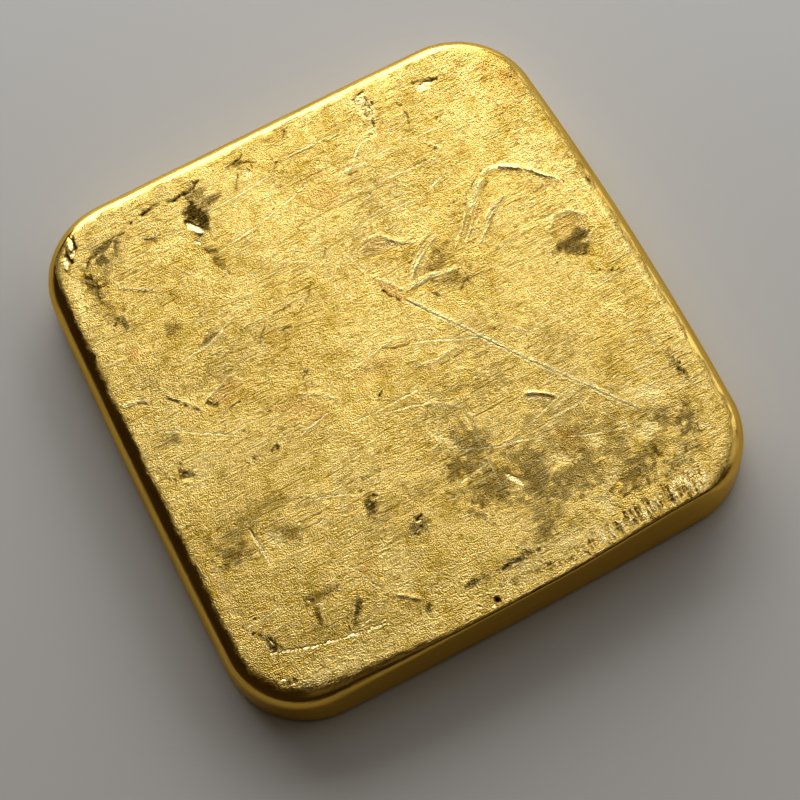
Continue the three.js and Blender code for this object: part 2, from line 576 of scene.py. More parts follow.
    def stain(self, oval, ragged, edge, tarnish_and_shade, warm=0):
        """A ragged patch of tarnish, or of warmer colour, that fades out by edge on each side."""
        pick, reach = self.oval(oval)
        cover = 1 - smooth(1 - edge, 1 + edge, reach + ragged * self.grit[pick])
        self.paint(self.tarnish_and_shade, pick, tarnish_and_shade * cover)
        self.paint(self.warm, pick, warm * cover)

    def pale(self, oval, amount):
        """A ragged patch that wear has left shinier."""
        pick, reach = self.oval(oval)
        cover = 1 - smooth(*PALE_EDGE, reach + PALE_RAGGED * self.grit[pick])
        self.paint(self.polish_and_highlight, pick, amount * cover)
        self.tarnish_and_shade[pick] *= 1 - PALE_CLEAN * cover

    def crumble(self, oval, relief, cell, shine, darkness):
        """Broken, sponge-like metal: raised crumbs painted pale as highlights, with the gaps between
        them painted dark as shade.
        """
        pick, reach = self.oval(oval)
        cover = 1 - smooth(*CRUMBLE_EDGE, reach + CRUMBLE_RAGGED * self.grit[pick])
        bits = layered(self.points[pick], cell, *CRUMBLE_NOISE)
        self.height[pick] += relief * cover * np.clip(bits, *CRUMBLE_LIMITS)
        self.paint(self.polish_and_highlight, pick, shine * cover * smooth(*CRUMBLE_SHINY, bits))
        self.paint(self.tarnish_and_shade, pick, darkness * cover * smooth(*CRUMBLE_DARK, -bits))


# Thin scratches and burrs, their crests painted bright as highlights, with a painted shadow line on
# their steep right side. Each rises on the left of its path.
BURRS = [
    (0.6, -11.1, 3, -12.2, 5.5, -13, 7.2, -13.3), (3.3, -8.6, 4.3, -9.8, 5, -10.5),
    (-2.1, -14.8, 0.4, -14.7, 2.9, -14.4), (-0.2, -13.9, 2.8, -13.5), (2.7, -16.9, 3, -12, 3.1, -8),
    (-5.6, -5, -2, -5, 1, -5), (-3.9, -5.3, -1.4, -5.8, 0.5, -6.3, 1.2, -6.8),
    (2, -0.95, 4, -1.7, 5.3, -2.4, 7.8, -3.4), (-12.2, -9.2, -10, -9.8, -8, -10.8),
    (-13.4, -20.7, -11.9, -20.4, -9.6, -19.8), (-11.6, -15.6, -10.9, -17.2, -9.9, -19.3),
    (-21.4, -16.4, -19.5, -16.3, -17.6, -16), (-8.9, 18.8, -4.5, 19, -1.2, 19.5),
    (0.2, 20.4, 2, 20.3, 3.9, 20.2, 5.7, 20.1), (5.3, 11.1, 7, 11, 10, 11),
    (10, 11.3, 11.9, 11.8, 12.9, 11.2), (6.5, 16.5, 10, 16.6, 14, 16.3),
    (-20.8, 2.4, -19, 1.4, -16.2, -0.4, -14.5, -1.4), (-11, 14.4, -6, 15.3, -3.2, 15.8, 1.6, 17.2),
    (-10.2, -3.8, -8.8, -3.5, -7, -3.1), (6.9, -12.3, 9.9, -11.4, 13.4, -10.6), (9, -12.5, 12.4, -12.5),
    (-13.9, 17.6, -12.5, 17.4, -11, 17.8), (13.2, -13.9, 14, -15.2, 14.6, -16.4),
    (9.6, -14.6, 12, -15.6, 15, -16.4), (7, 14.1, 10.5, 13.8, 13, 13.5),
    (-16.6, 6.8, -15.2, 7.3, -13.5, 7.3, -12.4, 7.8, -10.2, 8.8), (0.9, 9.2, 1.3, 7.9, 1.5, 6.6),
    (3.4, 14.4, 5, 14.1, 8, 14), (5.5, 17, 6.9, 18.3, 7.6, 18.4, 8.2, 18.1),
]

# Stronger laps and burrs: path, width, height, shine painted on the crest as a highlight, painted
# shadow below.
LAPS = [
    # The long curved lap at the right, and the legs to its left.
    ((12.4, 7.8, 13.6, 8.9, 14.9, 9.8), 0.25, 0.05, 0.9, 0.2),
    ((14.8, 10.1, 15.6, 10.5, 16.3, 10.3, 17.2, 9.9), 0.24, 0.05, 0.9, 0.1),
    ((16.6, 10.3, 18.3, 9.3, 19.3, 8.3), 0.3, 0.07, 1, 0.1),
    ((18.9, 8.7, 19.5, 8, 20.3, 7, 21.1, 6), 0.22, 0.05, 0.9, 0.1),
    ((4.6, 4.2, 5.5, 5.1, 7.2, 6.3, 8.9, 7.1), 0.2, 0.05, 0.8, 0.25),
    ((5.3, 5.7, 7.2, 7, 8.8, 7.5), 0.13, 0.03, 0.5, 0.5),
    ((13.2, 5.9, 14.3, 6.8, 15.9, 7.3), 0.15, 0.035, 0.6, 0.45),
    ((9.3, 4.9, 10.6, 6.1, 12.2, 7.9), 0.15, 0.045, 0.8, 0.3),
    ((10.4, 4.9, 12, 6.5, 13.6, 8.1), 0.15, 0.045, 0.8, 0.3),
    ((11.5, 4.3, 12.9, 5.4, 14.2, 6.6), 0.16, 0.05, 0.9, 0.4),
    ((12, 7, 13.2, 8.2, 14.6, 9.3), 0.15, 0.05, 0.9, 0.2),
    # Wrinkles, most of them near the middle.
    ((2.3, 9.6, 4.2, 9.6, 4.9, 8.7, 5.5, 8, 6.6, 7.4), 0.2, 0.05, 0.7, 0.2),
    ((2.3, 11.1, 3.1, 11.4, 3.9, 10.6), 0.15, 0.035, 0.8, 0.2),
    ((4, 3.7, 6.3, 3.8, 7.6, 3.5, 9.1, 3.2), 0.24, 0.05, 0.8, 0.35),
    ((3.7, 16.3, 5, 16.6, 6.7, 16.2), 0.24, 0.05, 0.9, 0.1),
    ((2.3, 18.1, 3.1, 17.4, 3.9, 16.8), 0.25, 0.03, 0.5, 0),
    ((-4, -0.7, -0.5, 0, 1.2, 0.1, 1.9, -0.2, 2.2, -0.7), 0.13, 0.035, 0.8, 0.1),
    ((2.4, 0.2, 3.4, 0.1, 4, -0.4, 4.5, -0.9), 0.17, 0.035, 0.8, 0.3),
    ((0.9, -2.9, 1.6, -3, 2.3, -3.4, 3.6, -3.4, 5, -3, 5.7, -3.3), 0.17, 0.045, 0.8, 0.2),
    ((-8.9, -0.2, -8, -0.6, -7, -1.3, -6.2, -2, -5.7, -2.8), 0.2, 0.05, 0.7, 0.2),
    ((-22.6, 5.8, -21.6, 5.7, -20.8, 5.5, -20.2, 5), 0.25, 0.05, 0.8, 0.3),
    (
        (-16.1, 2.9, -15, 3.3, -13.9, 3.6, -13.3, 3.9,
         -12.8, 3.8, -12.4, 3.3, -12.4, 2.7),
        0.16, 0.04, 0.9, 0.15,
    ),
    ((14.8, -18.4, 15.6, -18.2, 16.4, -17.9), 0.16, 0.05, 0.9, 0.5),
    # Thick burrs, and the long one on the right rim.
    ((8.4, -9.7, 9.2, -10, 10, -10.5, 10.6, -11.1), 0.17, 0.05, 0.9, 0.3),
    ((8.2, -10.1, 9, -10.4, 9.6, -10.8, 9.9, -11.3), 0.17, 0.05, 0.9, 0.3),
    ((9.6, -12.3, 10.5, -11.8, 12, -11.5, 13.3, -11.2), 0.17, 0.05, 0.9, 0.3),
    ((0.5, -6.4, 1.6, -7, 3.2, -8.2), 0.17, 0.05, 0.8, 0.2),
    ((-9.3, -19.7, -8.4, -20.3, -7.5, -21.1), 0.17, 0.1, 1, 0.1),
    ((-18.9, 5.2, -18.2, 4.4, -17.3, 3.3, -16.4, 2.1), 0.16, 0.06, 0.9, 0),
    ((-18.1, 16, -17, 15.2, -16, 14.6, -15.1, 13.9), 0.15, 0.05, 0.9, 0),
    ((12, 15.8, 12.5, 15.2, 13.1, 14.2), 0.18, 0.05, 0.9, 0),
    ((-13.1, 15.9, -12.4, 14.6, -11.4, 13.1), 0.12, 0.03, 0.7, 0.4),
    ((1.7, 6.5, 2.6, 5.4, 3.5, 4.2, 3.8, 3.5), 0.2, 0.05, 0.8, 0),
    ((17.5, 2.4, 18.3, 3.5, 19.3, 3.8, 20.3, 3.4, 21.3, 2.1), 0.22, 0.06, 0.8, 0.1),
    ((18.6, -0.6, 20.2, 0.2, 21, 0.8), 0.15, 0.05, 0.8, 0.3),
    ((22.6, 8.2, 22.7, 2, 22.7, -6, 22.6, -13.5), 0.16, 0.03, 0.6, 0),
    ((8.2, -9.6, 9.2, -10, 10, -10.5, 10.6, -11.1), 0.22, 0.07, 1, 0.3),
]

# Thin dark lines: path, width, darkness, and how broken it is.
CRACKS = [
    # Along the back edge, from the left to the right corner.
    ((-14.1, 21.4, -13.3, 21.5, -12.3, 21.7, -11.5, 21.6, -10.6, 21.5, -9.5, 21.4), 0.15, 0.9, -0.1),
    ((-9.5, 21.4, -8.6, 21.6, -8, 22.2), 0.16, 0.9, -0.2),
    ((-9.4, 20.8, -8.7, 21.2, -8.1, 21.9, -7.4, 22.3), 0.12, 0.8, 0),
    ((-7.2, 21.9, -6.4, 21.8, -6, 22.4), 0.08, 0.6, 0.1),
    ((-5, 22, -3.8, 22.1, -3.2, 22.4, -2.4, 22.9), 0.08, 0.7, 0),
    ((-5, 21.7, -4, 21.9, -3.2, 21.7, -2.1, 21.1), 0.11, 0.6, 0.1),
    ((-4.1, 20.9, -4.9, 20, -5, 19.4), 0.08, 0.8, -0.1),
    ((0.5, 21.7, 1, 22.3, 1.6, 22.9), 0.08, 0.6, 0.1), ((-1.3, 19.4, -0.5, 20.3), 0.12, 0.6, 0.1),
    ((0.4, 20.1, 2, 20.1, 4, 20, 5.8, 19.9), 0.06, 0.5, 0),
    ((7.8, 22.7, 8.6, 22.5, 9.1, 22.9, 9.7, 22.9), 0.09, 0.8, -0.1),
    ((9.3, 22.4, 9.6, 21.6, 9.8, 21.1), 0.1, 0.9, -0.2),
    ((8.9, 21.2, 8.6, 20.3, 8.9, 19.6, 8.8, 18.9), 0.09, 0.8, 0),
    ((9.5, 22.6, 9.1, 21.9, 9.4, 20.9, 9.2, 20.2), 0.07, 0.6, 0.1),
    ((11, 21.6, 11.6, 20.6, 12.1, 19.8), 0.08, 0.5, 0.2),
    ((12.1, 19.4, 11.8, 18.3, 11.7, 17.6), 0.08, 0.6, 0.1),
    ((13.7, 21.4, 14.4, 21.5, 14.9, 21.1, 15.5, 20.9, 16.2, 20.6), 0.15, 0.8, -0.1),
    ((19.5, 15.8, 20.2, 15.2, 19.5, 14.7), 0.08, 0.6, 0),
    # At the back left, round the star-like patch and in front of it.
    ((-20.8, 22.2, -21.05, 21.2, -20.95, 20.1), 0.13, 1, -0.5),
    ((-19.9, 22.8, -19.95, 22, -20.2, 21.2), 0.12, 1, -0.5),
    ((-17.4, 20.7, -16.4, 20.7, -15.5, 20.6), 0.09, 0.7, -0.2),
    ((-20.8, 19.3, -20, 18.9, -19.5, 19.8, -18.4, 20.1, -17.4, 20.7), 0.12, 0.7, -0.1),
    ((-20.3, 18.9, -20.3, 17.6, -19.9, 17.1, -20.3, 16.2, -20.1, 15.2), 0.2, 0.6, 0),
    ((-19.9, 16.8, -19.2, 16.9, -18.6, 17), 0.12, 0.6, 0),
    ((-14.4, 19.2, -13.8, 18.8, -13.2, 18.4), 0.15, 0.6, 0.1),
    ((-20.7, 14.1, -20, 14.2, -19.4, 14.2, -19, 13.8), 0.1, 0.8, -0.1),
    ((-10.1, 15.9, -9.7, 15.1), 0.16, 0.6, 0), ((-9.3, 15.2, -9.2, 14.2, -9, 12.4), 0.13, 0.6, 0),
    # The left half.
    ((-19.1, 8.4, -19.2, 7.2, -19.8, 6.2, -19.9, 5.3), 0.07, 0.4, 0.1),
    ((-18.9, 4.9, -18.3, 4.1, -17.3, 3, -16.7, 2.2), 0.1, 0.8, 0),
    ((-18, 15.7, -17, 15, -16, 14.4, -15.3, 13.8), 0.06, 0.6, -0.1),
    ((-21.5, 5.3, -21, 5.2, -20.5, 4.9), 0.14, 0.6, 0),
    ((-15.3, 1, -14.3, 1.3, -13.2, 1.4), 0.07, 0.8, -0.2),
    ((-15.9, 2.8, -15.5, 2.3, -15.1, 1.9), 0.17, 0.6, -0.1),
    ((-9.6, 5.2, -8.9, 6.2, -8.4, 6.9), 0.07, 0.6, 0),
    ((-7.6, 5.4, -6.8, 5.6, -6.3, 5.2), 0.08, 0.7, -0.1), ((-8.3, 7, -6.8, 7.2, -5, 7.3), 0.05, 0.5, 0),
    ((-5.4, 6.2, -4.2, 6.9, -2.9, 8.4), 0.07, 0.4, 0.1),
    ((-6.9, 1.3, -7.6, 0.7, -7.9, -0.1), 0.07, 0.6, 0),
    ((-1.3, 9.7, -0.4, 10.6, 0.5, 11.7), 0.06, 0.45, 0),
    # The middle and round it.
    ((-0.5, -0.1, 0.3, -0.6, 1.4, -0.9, 2, -0.85), 0.07, 0.8, -0.3),
    ((2.7, -4, 4.2, -3.9, 5.8, -3.7), 0.07, 0.7, -0.2),
    ((4.5, 16, 5, 15.85, 5.8, 15.8), 0.09, 0.7, -0.2), ((2, 4.7, 2.5, 3.8, 3.1, 3), 0.09, 0.9, -0.6),
    ((3.3, 3.1, 3.9, 2.2, 4.6, 1.2), 0.07, 0.7, -0.2), ((5.3, 5.6, 6.2, 6.4, 7.2, 6.9), 0.07, 0.6, 0),
    ((10.7, 5.2, 11.6, 4.4, 12, 4.2, 12.4, 3.3), 0.07, 0.6, 0),
    ((8, 1.3, 8.7, 2, 9.5, 2.2), 0.08, 0.6, 0), ((5.9, 2.5, 6.1, 1.9, 6.7, 1.4), 0.1, 0.7, 0),
    ((-8, -8.9, -7.3, -9.7, -6, -9.8, -5.4, -9.8), 0.07, 0.5, 0),
    # The right side, and the dent there.
    ((20.2, 7, 20.7, 6.5, 21.1, 6), 0.09, 0.7, -0.2),
    ((12.2, 8.2, 13.2, 9.4, 14.7, 10.3), 0.08, 0.7, -0.1),
    ((13.1, 8.1, 14, 8.8, 15.2, 9.4), 0.07, 0.5, 0.1), ((13.3, 6, 14.3, 6.8, 15.8, 7.3), 0.08, 0.7, 0),
    ((18.7, -0.7, 19.6, -0.9, 20.6, -0.7), 0.09, 0.8, -0.1),
    ((23.1, 8.2, 23.1, 3, 23.1, -2.2), 0.07, 0.5, 0), ((23.2, 6.1, 23.1, 4.6), 0.1, 0.8, -0.3),
    # The front half.
    ((11, -21.4, 11.8, -21.3, 12.8, -21), 0.08, 0.6, -0.1),
    ((-0.8, -22.1, 0, -21.8, 1, -22, 2.4, -21.8, 3, -22.1), 0.13, 0.8, 0.1),
    ((-5, -14.9, -4.2, -14.9), 0.1, 1, -0.4), ((-12.9, -4, -12.1, -3.6), 0.12, 1, 0),
    ((-7.2, -11.3, -6.7, -11.5), 0.12, 0.9, -0.3),
]

# Shallow dents of the hammered-looking skin: oval, depth.
SHALLOW = [
    (19.3, 1.5, 2.1, 2.1, 0, 0.08), (-14.2, 2.6, 1.7, 1, 15, 0.05), (3.9, 8.1, 1.8, 1, -25, 0.06),
    (-9.5, -1.5, 2.2, 1.2, -25, 0.05), (-2.5, -1.8, 2.2, 1, 8, 0.05), (17.9, -7.2, 0.9, 1.6, 10, 0.04),
    (8, -15.8, 1.6, 1.4, 20, 0.05), (12.4, -19.8, 1.8, 1.2, 0, 0.07), (-20, 13, 1.1, 1.2, 0, 0.07),
    (-12.9, 18.4, 1.9, 1, -10, 0.05), (7.6, 4.8, 1.3, 0.8, 30, 0.05), (17.4, 8.9, 1.5, 0.7, -30, 0.05),
    (-17.4, 19.6, 2.2, 1.4, 10, 0.05), (-7.5, -13, 1.6, 1.3, 0, 0.04),
    (1.2, -16.4, 2.2, 1.4, -20, 0.05), (17.6, -17.4, 1.4, 1.8, 20, 0.08), (3.4, -21, 1.6, 0.8, 0, 0.05),
    (-16.6, -11, 2.6, 1.8, 30, 0.04),
]

# Deep dark pits: oval, depth, tarnish.
PITS = [
    (-20.2, -2.4, 0.8, 0.55, -40, 0.14, 0.95), (5.4, 13.4, 0.14, 0.12, 0, 0.06, 1),
    (19.6, -2.8, 0.15, 0.13, 0, 0.06, 0.9), (20.5, -3.3, 0.24, 0.13, 0, 0.06, 0.9),
    (9.8, -2.1, 0.13, 0.1, 0, 0.06, 0.9), (8.9, -3.3, 0.18, 0.12, 20, 0.06, 0.9),
    (-17.3, -3.6, 0.18, 0.1, -20, 0.05, 0.8), (-12.3, -3.9, 0.3, 0.22, 30, 0.08, 0.9),
    (-2.6, -3.8, 0.26, 0.13, 40, 0.08, 0.9), (-2.3, -3.6, 0.13, 0.13, 0, 0.06, 0.9),
    (-7.9, -10.6, 0.22, 0.12, 20, 0.08, 0.9), (-5.5, -16, 0.28, 0.09, -10, 0.07, 0.9),
    (-4.9, -15.7, 0.3, 0.1, 30, 0.07, 0.8), (-21, -17.1, 0.24, 0.2, 0, 0.1, 1),
    (-15.6, -16.9, 0.26, 0.22, 0, 0.07, 0.6), (-20.4, -16, 0.2, 0.15, 0, 0.05, 0.8),
    (-11.3, -18.4, 0.12, 0.12, 0, 0.05, 0.8), (-9.9, -19.3, 0.14, 0.12, 0, 0.05, 0.8),
    (-4.5, -11.8, 0.1, 0.12, 0, 0.05, 0.8), (-2.9, 16.2, 0.12, 0.12, 0, 0.05, 0.8),
    (-14.7, 21.2, 0.26, 0.14, 20, 0.08, 0.8), (22.1, 17.6, 0.22, 0.13, -30, 0.07, 0.9),
    (-2.2, -23.9, 0.32, 0.42, 40, 0.18, 1),
]

# Flat shiny spots that catch the light, painted pale as highlights: oval, slopes towards +X and +Y.
FACETS = [
    (-9.9, 18, 1.25, 0.38, -62, 0.12, 0.3), (-10.2, 16.6, 0.45, 0.16, -55, 0.1, 0.3),
    (-21.4, 20.5, 0.95, 0.22, 76, 0.05, 0.25), (-20.5, 21, 0.6, 0.25, 50, 0.05, 0.25),
    (-20.3, 22, 0.9, 0.25, 76, 0.05, 0.22), (14.8, 20.7, 0.75, 0.25, -12, 0, 0.1),
    (4, -15.8, 1.15, 0.27, -58, 0.02, 0.04), (-2.65, -24.2, 0.2, 0.13, 30, 0, 0.3),
    (-3.7, -23.8, 0.4, 0.1, -45, 0, 0.3), (-20.95, -17.15, 0.1, 0.1, 0, 0, 0.4),
    (-15.8, -16.75, 0.12, 0.08, -30, 0, 0.35), (-7.6, -10.7, 0.12, 0.07, 40, 0, 0.3),
    (-6.9, -11.65, 0.26, 0.07, -10, 0, 0.3), (-4.8, -15.15, 0.35, 0.06, 0, 0, 0.3),
    (-5.1, -15.8, 0.3, 0.06, 25, 0, 0.3), (-13.6, -10.6, 0.22, 0.13, 40, 0, 0.3),
    (-12, -11.3, 0.4, 0.07, 15, 0, 0.3), (-20, -18.4, 0.4, 0.06, -75, 0.1, 0.3),
    (-20.55, -1.95, 0.07, 0.07, 0, 0, 0.4), (-20, -2.9, 0.09, 0.05, 0, 0, 0.4),
    (-17.35, -10.7, 2.1, 0.16, 95, 0, 0.02), (-20.4, -21.5, 0.22, 0.1, -40, 0.1, 0.3),
    (-19.9, -22.2, 0.14, 0.1, -30, 0.1, 0.3), (-19.2, -22.6, 0.26, 0.09, -40, 0.1, 0.3),
    (-18.4, -23.3, 0.2, 0.1, -25, 0.05, 0.3), (-17.6, -23.6, 0.3, 0.08, -20, 0.05, 0.3),
    (-16.6, -24, 0.2, 0.09, -10, 0, 0.3),
]

# Paler, worn places: oval, amount.
PALE = [
    (-13, -22.6, 5, 1.1, 0, 0.3), (-8, -17, 1.8, 3, 10, 0.25), (-7.8, -8.6, 2, 2.2, 0, 0.2),
    (15.7, -17.3, 0.9, 0.8, 5, 0.6), (8.3, -16, 1.1, 0.7, -20, 0.5), (11.6, -16.1, 0.8, 0.7, -60, 0.5),
    (11.2, -19.4, 1.3, 0.45, 25, 0.5), (9.5, -21.4, 0.9, 1.2, 0, 0.5), (2.7, -19.5, 0.7, 1, -10, 0.4),
    (-15.9, -10.8, 0.6, 0.9, 30, 0.5), (14.7, 20.6, 1, 0.4, -10, 0.9), (8.6, 21.4, 1.1, 1.3, 0, 0.5),
    (-21.6, 17.5, 0.5, 2.2, 0, 0.4), (-21.6, -12, 0.5, 3.4, 0, 0.4), (20.3, 9.5, 2.2, 3.2, 20, 0.35),
    (17.4, -14.6, 1.8, 1, -40, 0.35), (0.4, -9.9, 0.4, 1.6, 30, 0.5), (-19.3, -2.9, 1.8, 1, 10, 0.3),
    (5.8, 7.8, 2.4, 0.5, -20, 0.4), (6.6, 3.6, 2.6, 0.35, -5, 0.5), (6, -22.6, 4, 0.8, 0, 0.35),
    (-17.6, -22.6, 1.6, 0.8, -35, 0.4),
]

# Laps whose crest is combed into many thin lines: path, number of lines, spread.
COMBED = [
    ((4.6, 4.2, 5.5, 5.1, 7.2, 6.3, 9, 7.1), 9, 0.35), ((5.4, 5.6, 7, 6.8, 9.4, 7.7), 6, 0.3),
    ((11.6, 7.4, 13, 8.9, 14.9, 10.1, 16.2, 10.5), 9, 0.35),
    ((10.8, 5.2, 12.4, 6.6, 14.4, 8.8), 10, 0.7), ((12.4, 5.4, 14.3, 6.8, 15.9, 7.4), 7, 0.3),
    ((16.3, 10.4, 18.3, 9.2, 20.3, 7, 21.1, 6), 6, 0.25), ((2, 8.9, 4.4, 8.6, 6.6, 7.4), 8, 0.7),
    ((3.6, 4, 6.4, 3.8, 9.1, 3.3), 8, 0.3), ((8, -9.4, 9.6, -10.2, 10.6, -11.1), 5, 0.3),
    ((-16, 2.4, -14, 2.9, -12.5, 2.9), 7, 0.6), ((17.8, 2.3, 19.3, 2.9, 21, 2.2), 7, 0.6),
    ((-3, 19.9, -3.4, 21.3), 6, 0.5), ((-3, 18.6, -2.9, 16), 5, 0.35),
    ((-8.4, 19.9, -7.5, 20, -6.8, 20.1), 6, 0.4), ((-17.5, -0.2, -15, 0.4, -12, 0.9), 8, 1.2),
    ((9.4, -2.6, 11, -4.6, 12.6, -6), 7, 0.5), ((17, -13.2, 19.6, -15.2), 8, 0.7),
    ((6.8, -14.2, 8.6, -13, 11.6, -13.4), 6, 0.5), ((1.2, -20, 3.2, -22.2), 5, 0.4),
    ((-12.2, -19.6, -9.6, -20.3), 5, 0.4),
]

# Smudges: oval, amount, raggedness.
SMUDGES = [
    (-9.2, 19.2, 0.85, 1.5, 12, 0.85, 0.35), (-9.4, 14.2, 0.25, 1.6, 5, 0.5, 0.5),
    (-9, 18.1, 0.4, 0.9, 12, 0.75, 0.35), (-7.5, 19.8, 0.95, 0.45, 8, 0.55, 0.5),
    (-8.3, 20.9, 0.8, 0.6, 30, 0.5, 0.7), (-18.6, 19.1, 0.55, 0.95, 25, 0.68, 0.6),
    (-16.9, 19.6, 0.45, 0.8, -10, 0.65, 0.6), (-17.8, 20.2, 1.2, 0.35, 10, 0.65, 0.5),
    (-20.2, 17.8, 0.5, 0.9, 0, 0.65, 0.6), (-20.2, 16.2, 0.35, 0.8, 5, 0.6, 0.6),
    (-19.1, 12.8, 0.28, 0.85, -8, 0.6, 0.3), (-15.6, 10.1, 0.7, 0.6, 0, 0.4, 0.5),
    (-13.2, 7.9, 0.9, 0.35, 15, 0.5, 0.4), (-19.8, 1.1, 0.65, 0.45, -35, 0.5, 0.6),
    (-20, -18.4, 0.35, 0.9, 25, 0.8, 0.5), (-14.6, -16.8, 1.8, 0.4, 0, 0.45, 0.6),
    (-12.6, -19.3, 1, 0.28, 50, 0.75, 0.5), (-7.7, -12.2, 0.45, 1.1, -12, 0.8, 0.55),
    (10.5, -15.5, 6, 3.2, -10, 0.3, 0.8), (10, -12.8, 5, 2.2, 0, 0.22, 0.8),
    (4.5, -22.3, 4.5, 1.3, 0, 0.3, 0.8), (8, 13.5, 3.2, 2.4, 0, 0.15, 0.8),
    (7.3, -2.8, 2.2, 2, 0, 0.14, 0.8), (2.5, -7.8, 2.4, 2.2, 0, 0.24, 0.8),
    (12.5, -7.6, 2.2, 2.4, 0, 0.15, 0.8), (-18.3, 18.7, 1.7, 1.2, 30, 0.32, 0.8),
    (-20.2, 16.2, 0.9, 1.8, 5, 0.32, 0.8), (-19.6, 13.2, 0.9, 1.4, 0, 0.25, 0.8),
    (16.5, -17.5, 3.6, 2.4, 0, 0.25, 0.8), (-7.7, -13.6, 1.1, 0.5, 10, 0.35, 0.8),
    (-5.1, -15.7, 0.6, 0.85, -35, 0.5, 0.7), (-3.2, -21.8, 0.75, 0.32, 8, 0.7, 0.45),
    (-7.3, -21.8, 0.4, 0.5, -20, 0.75, 0.5), (-0.2, -17, 0.35, 0.9, 35, 0.5, 0.8),
    (0.6, -21.9, 1.8, 0.3, 3, 0.5, 0.9), (3.8, -21.2, 0.9, 0.6, 0, 0.5, 0.6),
    (1.9, -11, 1.9, 1.5, -30, 0.45, 0.7), (1.4, -12.6, 2, 0.9, 10, 0.52, 0.8),
    (2.6, -15.4, 2.6, 1.5, -10, 0.52, 0.7), (5.4, -16.6, 1.4, 3.2, 10, 0.52, 0.6),
    (4.3, -19.5, 0.7, 1.6, 0, 0.45, 0.6), (8.4, -18.3, 2.2, 1.3, 0, 0.45, 0.9),
    (10.2, -14.4, 2.6, 0.9, -12, 0.38, 0.8), (12.6, -20.2, 1.9, 0.8, 0, 0.6, 0.7),
    (15.5, -19.2, 0.32, 0.9, 15, 0.7, 0.5), (17.4, -16.8, 0.7, 1.6, 15, 0.5, 0.9),
    (18.9, -17.8, 1.1, 0.9, 30, 0.6, 0.9), (14, -19.2, 1, 0.6, 0, 0.52, 0.9),
    (21, -13.8, 0.35, 1.4, 5, 0.5, 0.8), (19.1, 0.8, 1.8, 0.7, 8, 0.7, 0.3),
    (18.8, 0.1, 1.2, 0.7, -15, 0.66, 0.3), (7.7, 4.7, 1.1, 0.7, 35, 0.45, 0.6),
    (3.6, 8.1, 1.5, 0.9, -30, 0.25, 0.7), (-3.6, -12.9, 2.2, 0.5, 0, 0.2, 0.9),
    (-19.6, -10.2, 1.4, 0.7, 20, 0.45, 0.9), (-18.4, -10.9, 0.9, 0.4, 0, 0.45, 0.9),
    (-14.8, -11, 1, 0.6, -20, 0.45, 0.9), (-16, -19.5, 4.4, 1, -8, 0.18, 0.9),
    (9.4, -17.4, 3.6, 1.2, 5, 0.5, 0.9), (6.2, -14.8, 1.2, 1, 0, 0.5, 0.8),
    (13, -17.9, 1.6, 0.8, -30, 0.45, 0.9), (16.8, -20.9, 1.8, 0.6, 20, 0.4, 0.9),
    (13.6, -14.8, 1.6, 0.5, -35, 0.3, 0.9), (-6.6, -20.6, 2.6, 0.7, 5, 0.15, 0.9),
    (-18.6, -8.6, 2.2, 0.8, 15, 0.3, 0.9), (-14.9, -8.2, 1.6, 0.7, -20, 0.25, 0.9),
    (6, -7.4, 2.4, 1, 10, 0.25, 0.9), (-13.4, 5.2, 2.6, 1.2, 20, 0.22, 0.9),
    (-19, 6.6, 1.6, 2.2, 10, 0.2, 0.9), (8.3, 2.6, 1.4, 0.8, -30, 0.35, 0.7),
    (-15.6, -18.2, 0.25, 0.85, 0, 0.65, 0.4),
]

# Warmer, pinkish places: oval, amount.
WARM = [
    (21.9, 17.5, 0.7, 1.1, 20, 0.8), (20.6, 19.6, 0.7, 0.4, -30, 0.6), (1.6, 15.7, 1.3, 1.3, -40, 0.6),
    (14.7, 13.3, 0.45, 0.35, 30, 1), (-10.2, -16.5, 1.2, 0.25, 20, 0.7), (-19.6, 9.8, 0.4, 0.6, 0, 0.7),
    (9.6, -14.4, 0.8, 0.6, -20, 0.6), (4, 8.4, 1.7, 0.9, -25, 0.3), (-14, 2.6, 1.5, 0.8, 15, 0.5),
    (2.7, 4.5, 1.3, 0.35, -57, 0.8), (19.2, 2.4, 1.3, 0.8, 0, 0.4), (12.6, 6.9, 1.1, 0.3, 45, 0.7),
    (-9, -1.7, 1.9, 0.9, -30, 0.5), (-1.6, -1.6, 1.8, 0.8, 5, 0.35), (-21.7, -11.5, 0.5, 3.6, 0, 0.35),
    (7.6, 4.8, 1.2, 0.7, 35, 0.25), (2.7, -19.6, 0.6, 0.9, -10, 0.35), (9.2, -15.4, 0.8, 0.5, 0, 0.5),
]

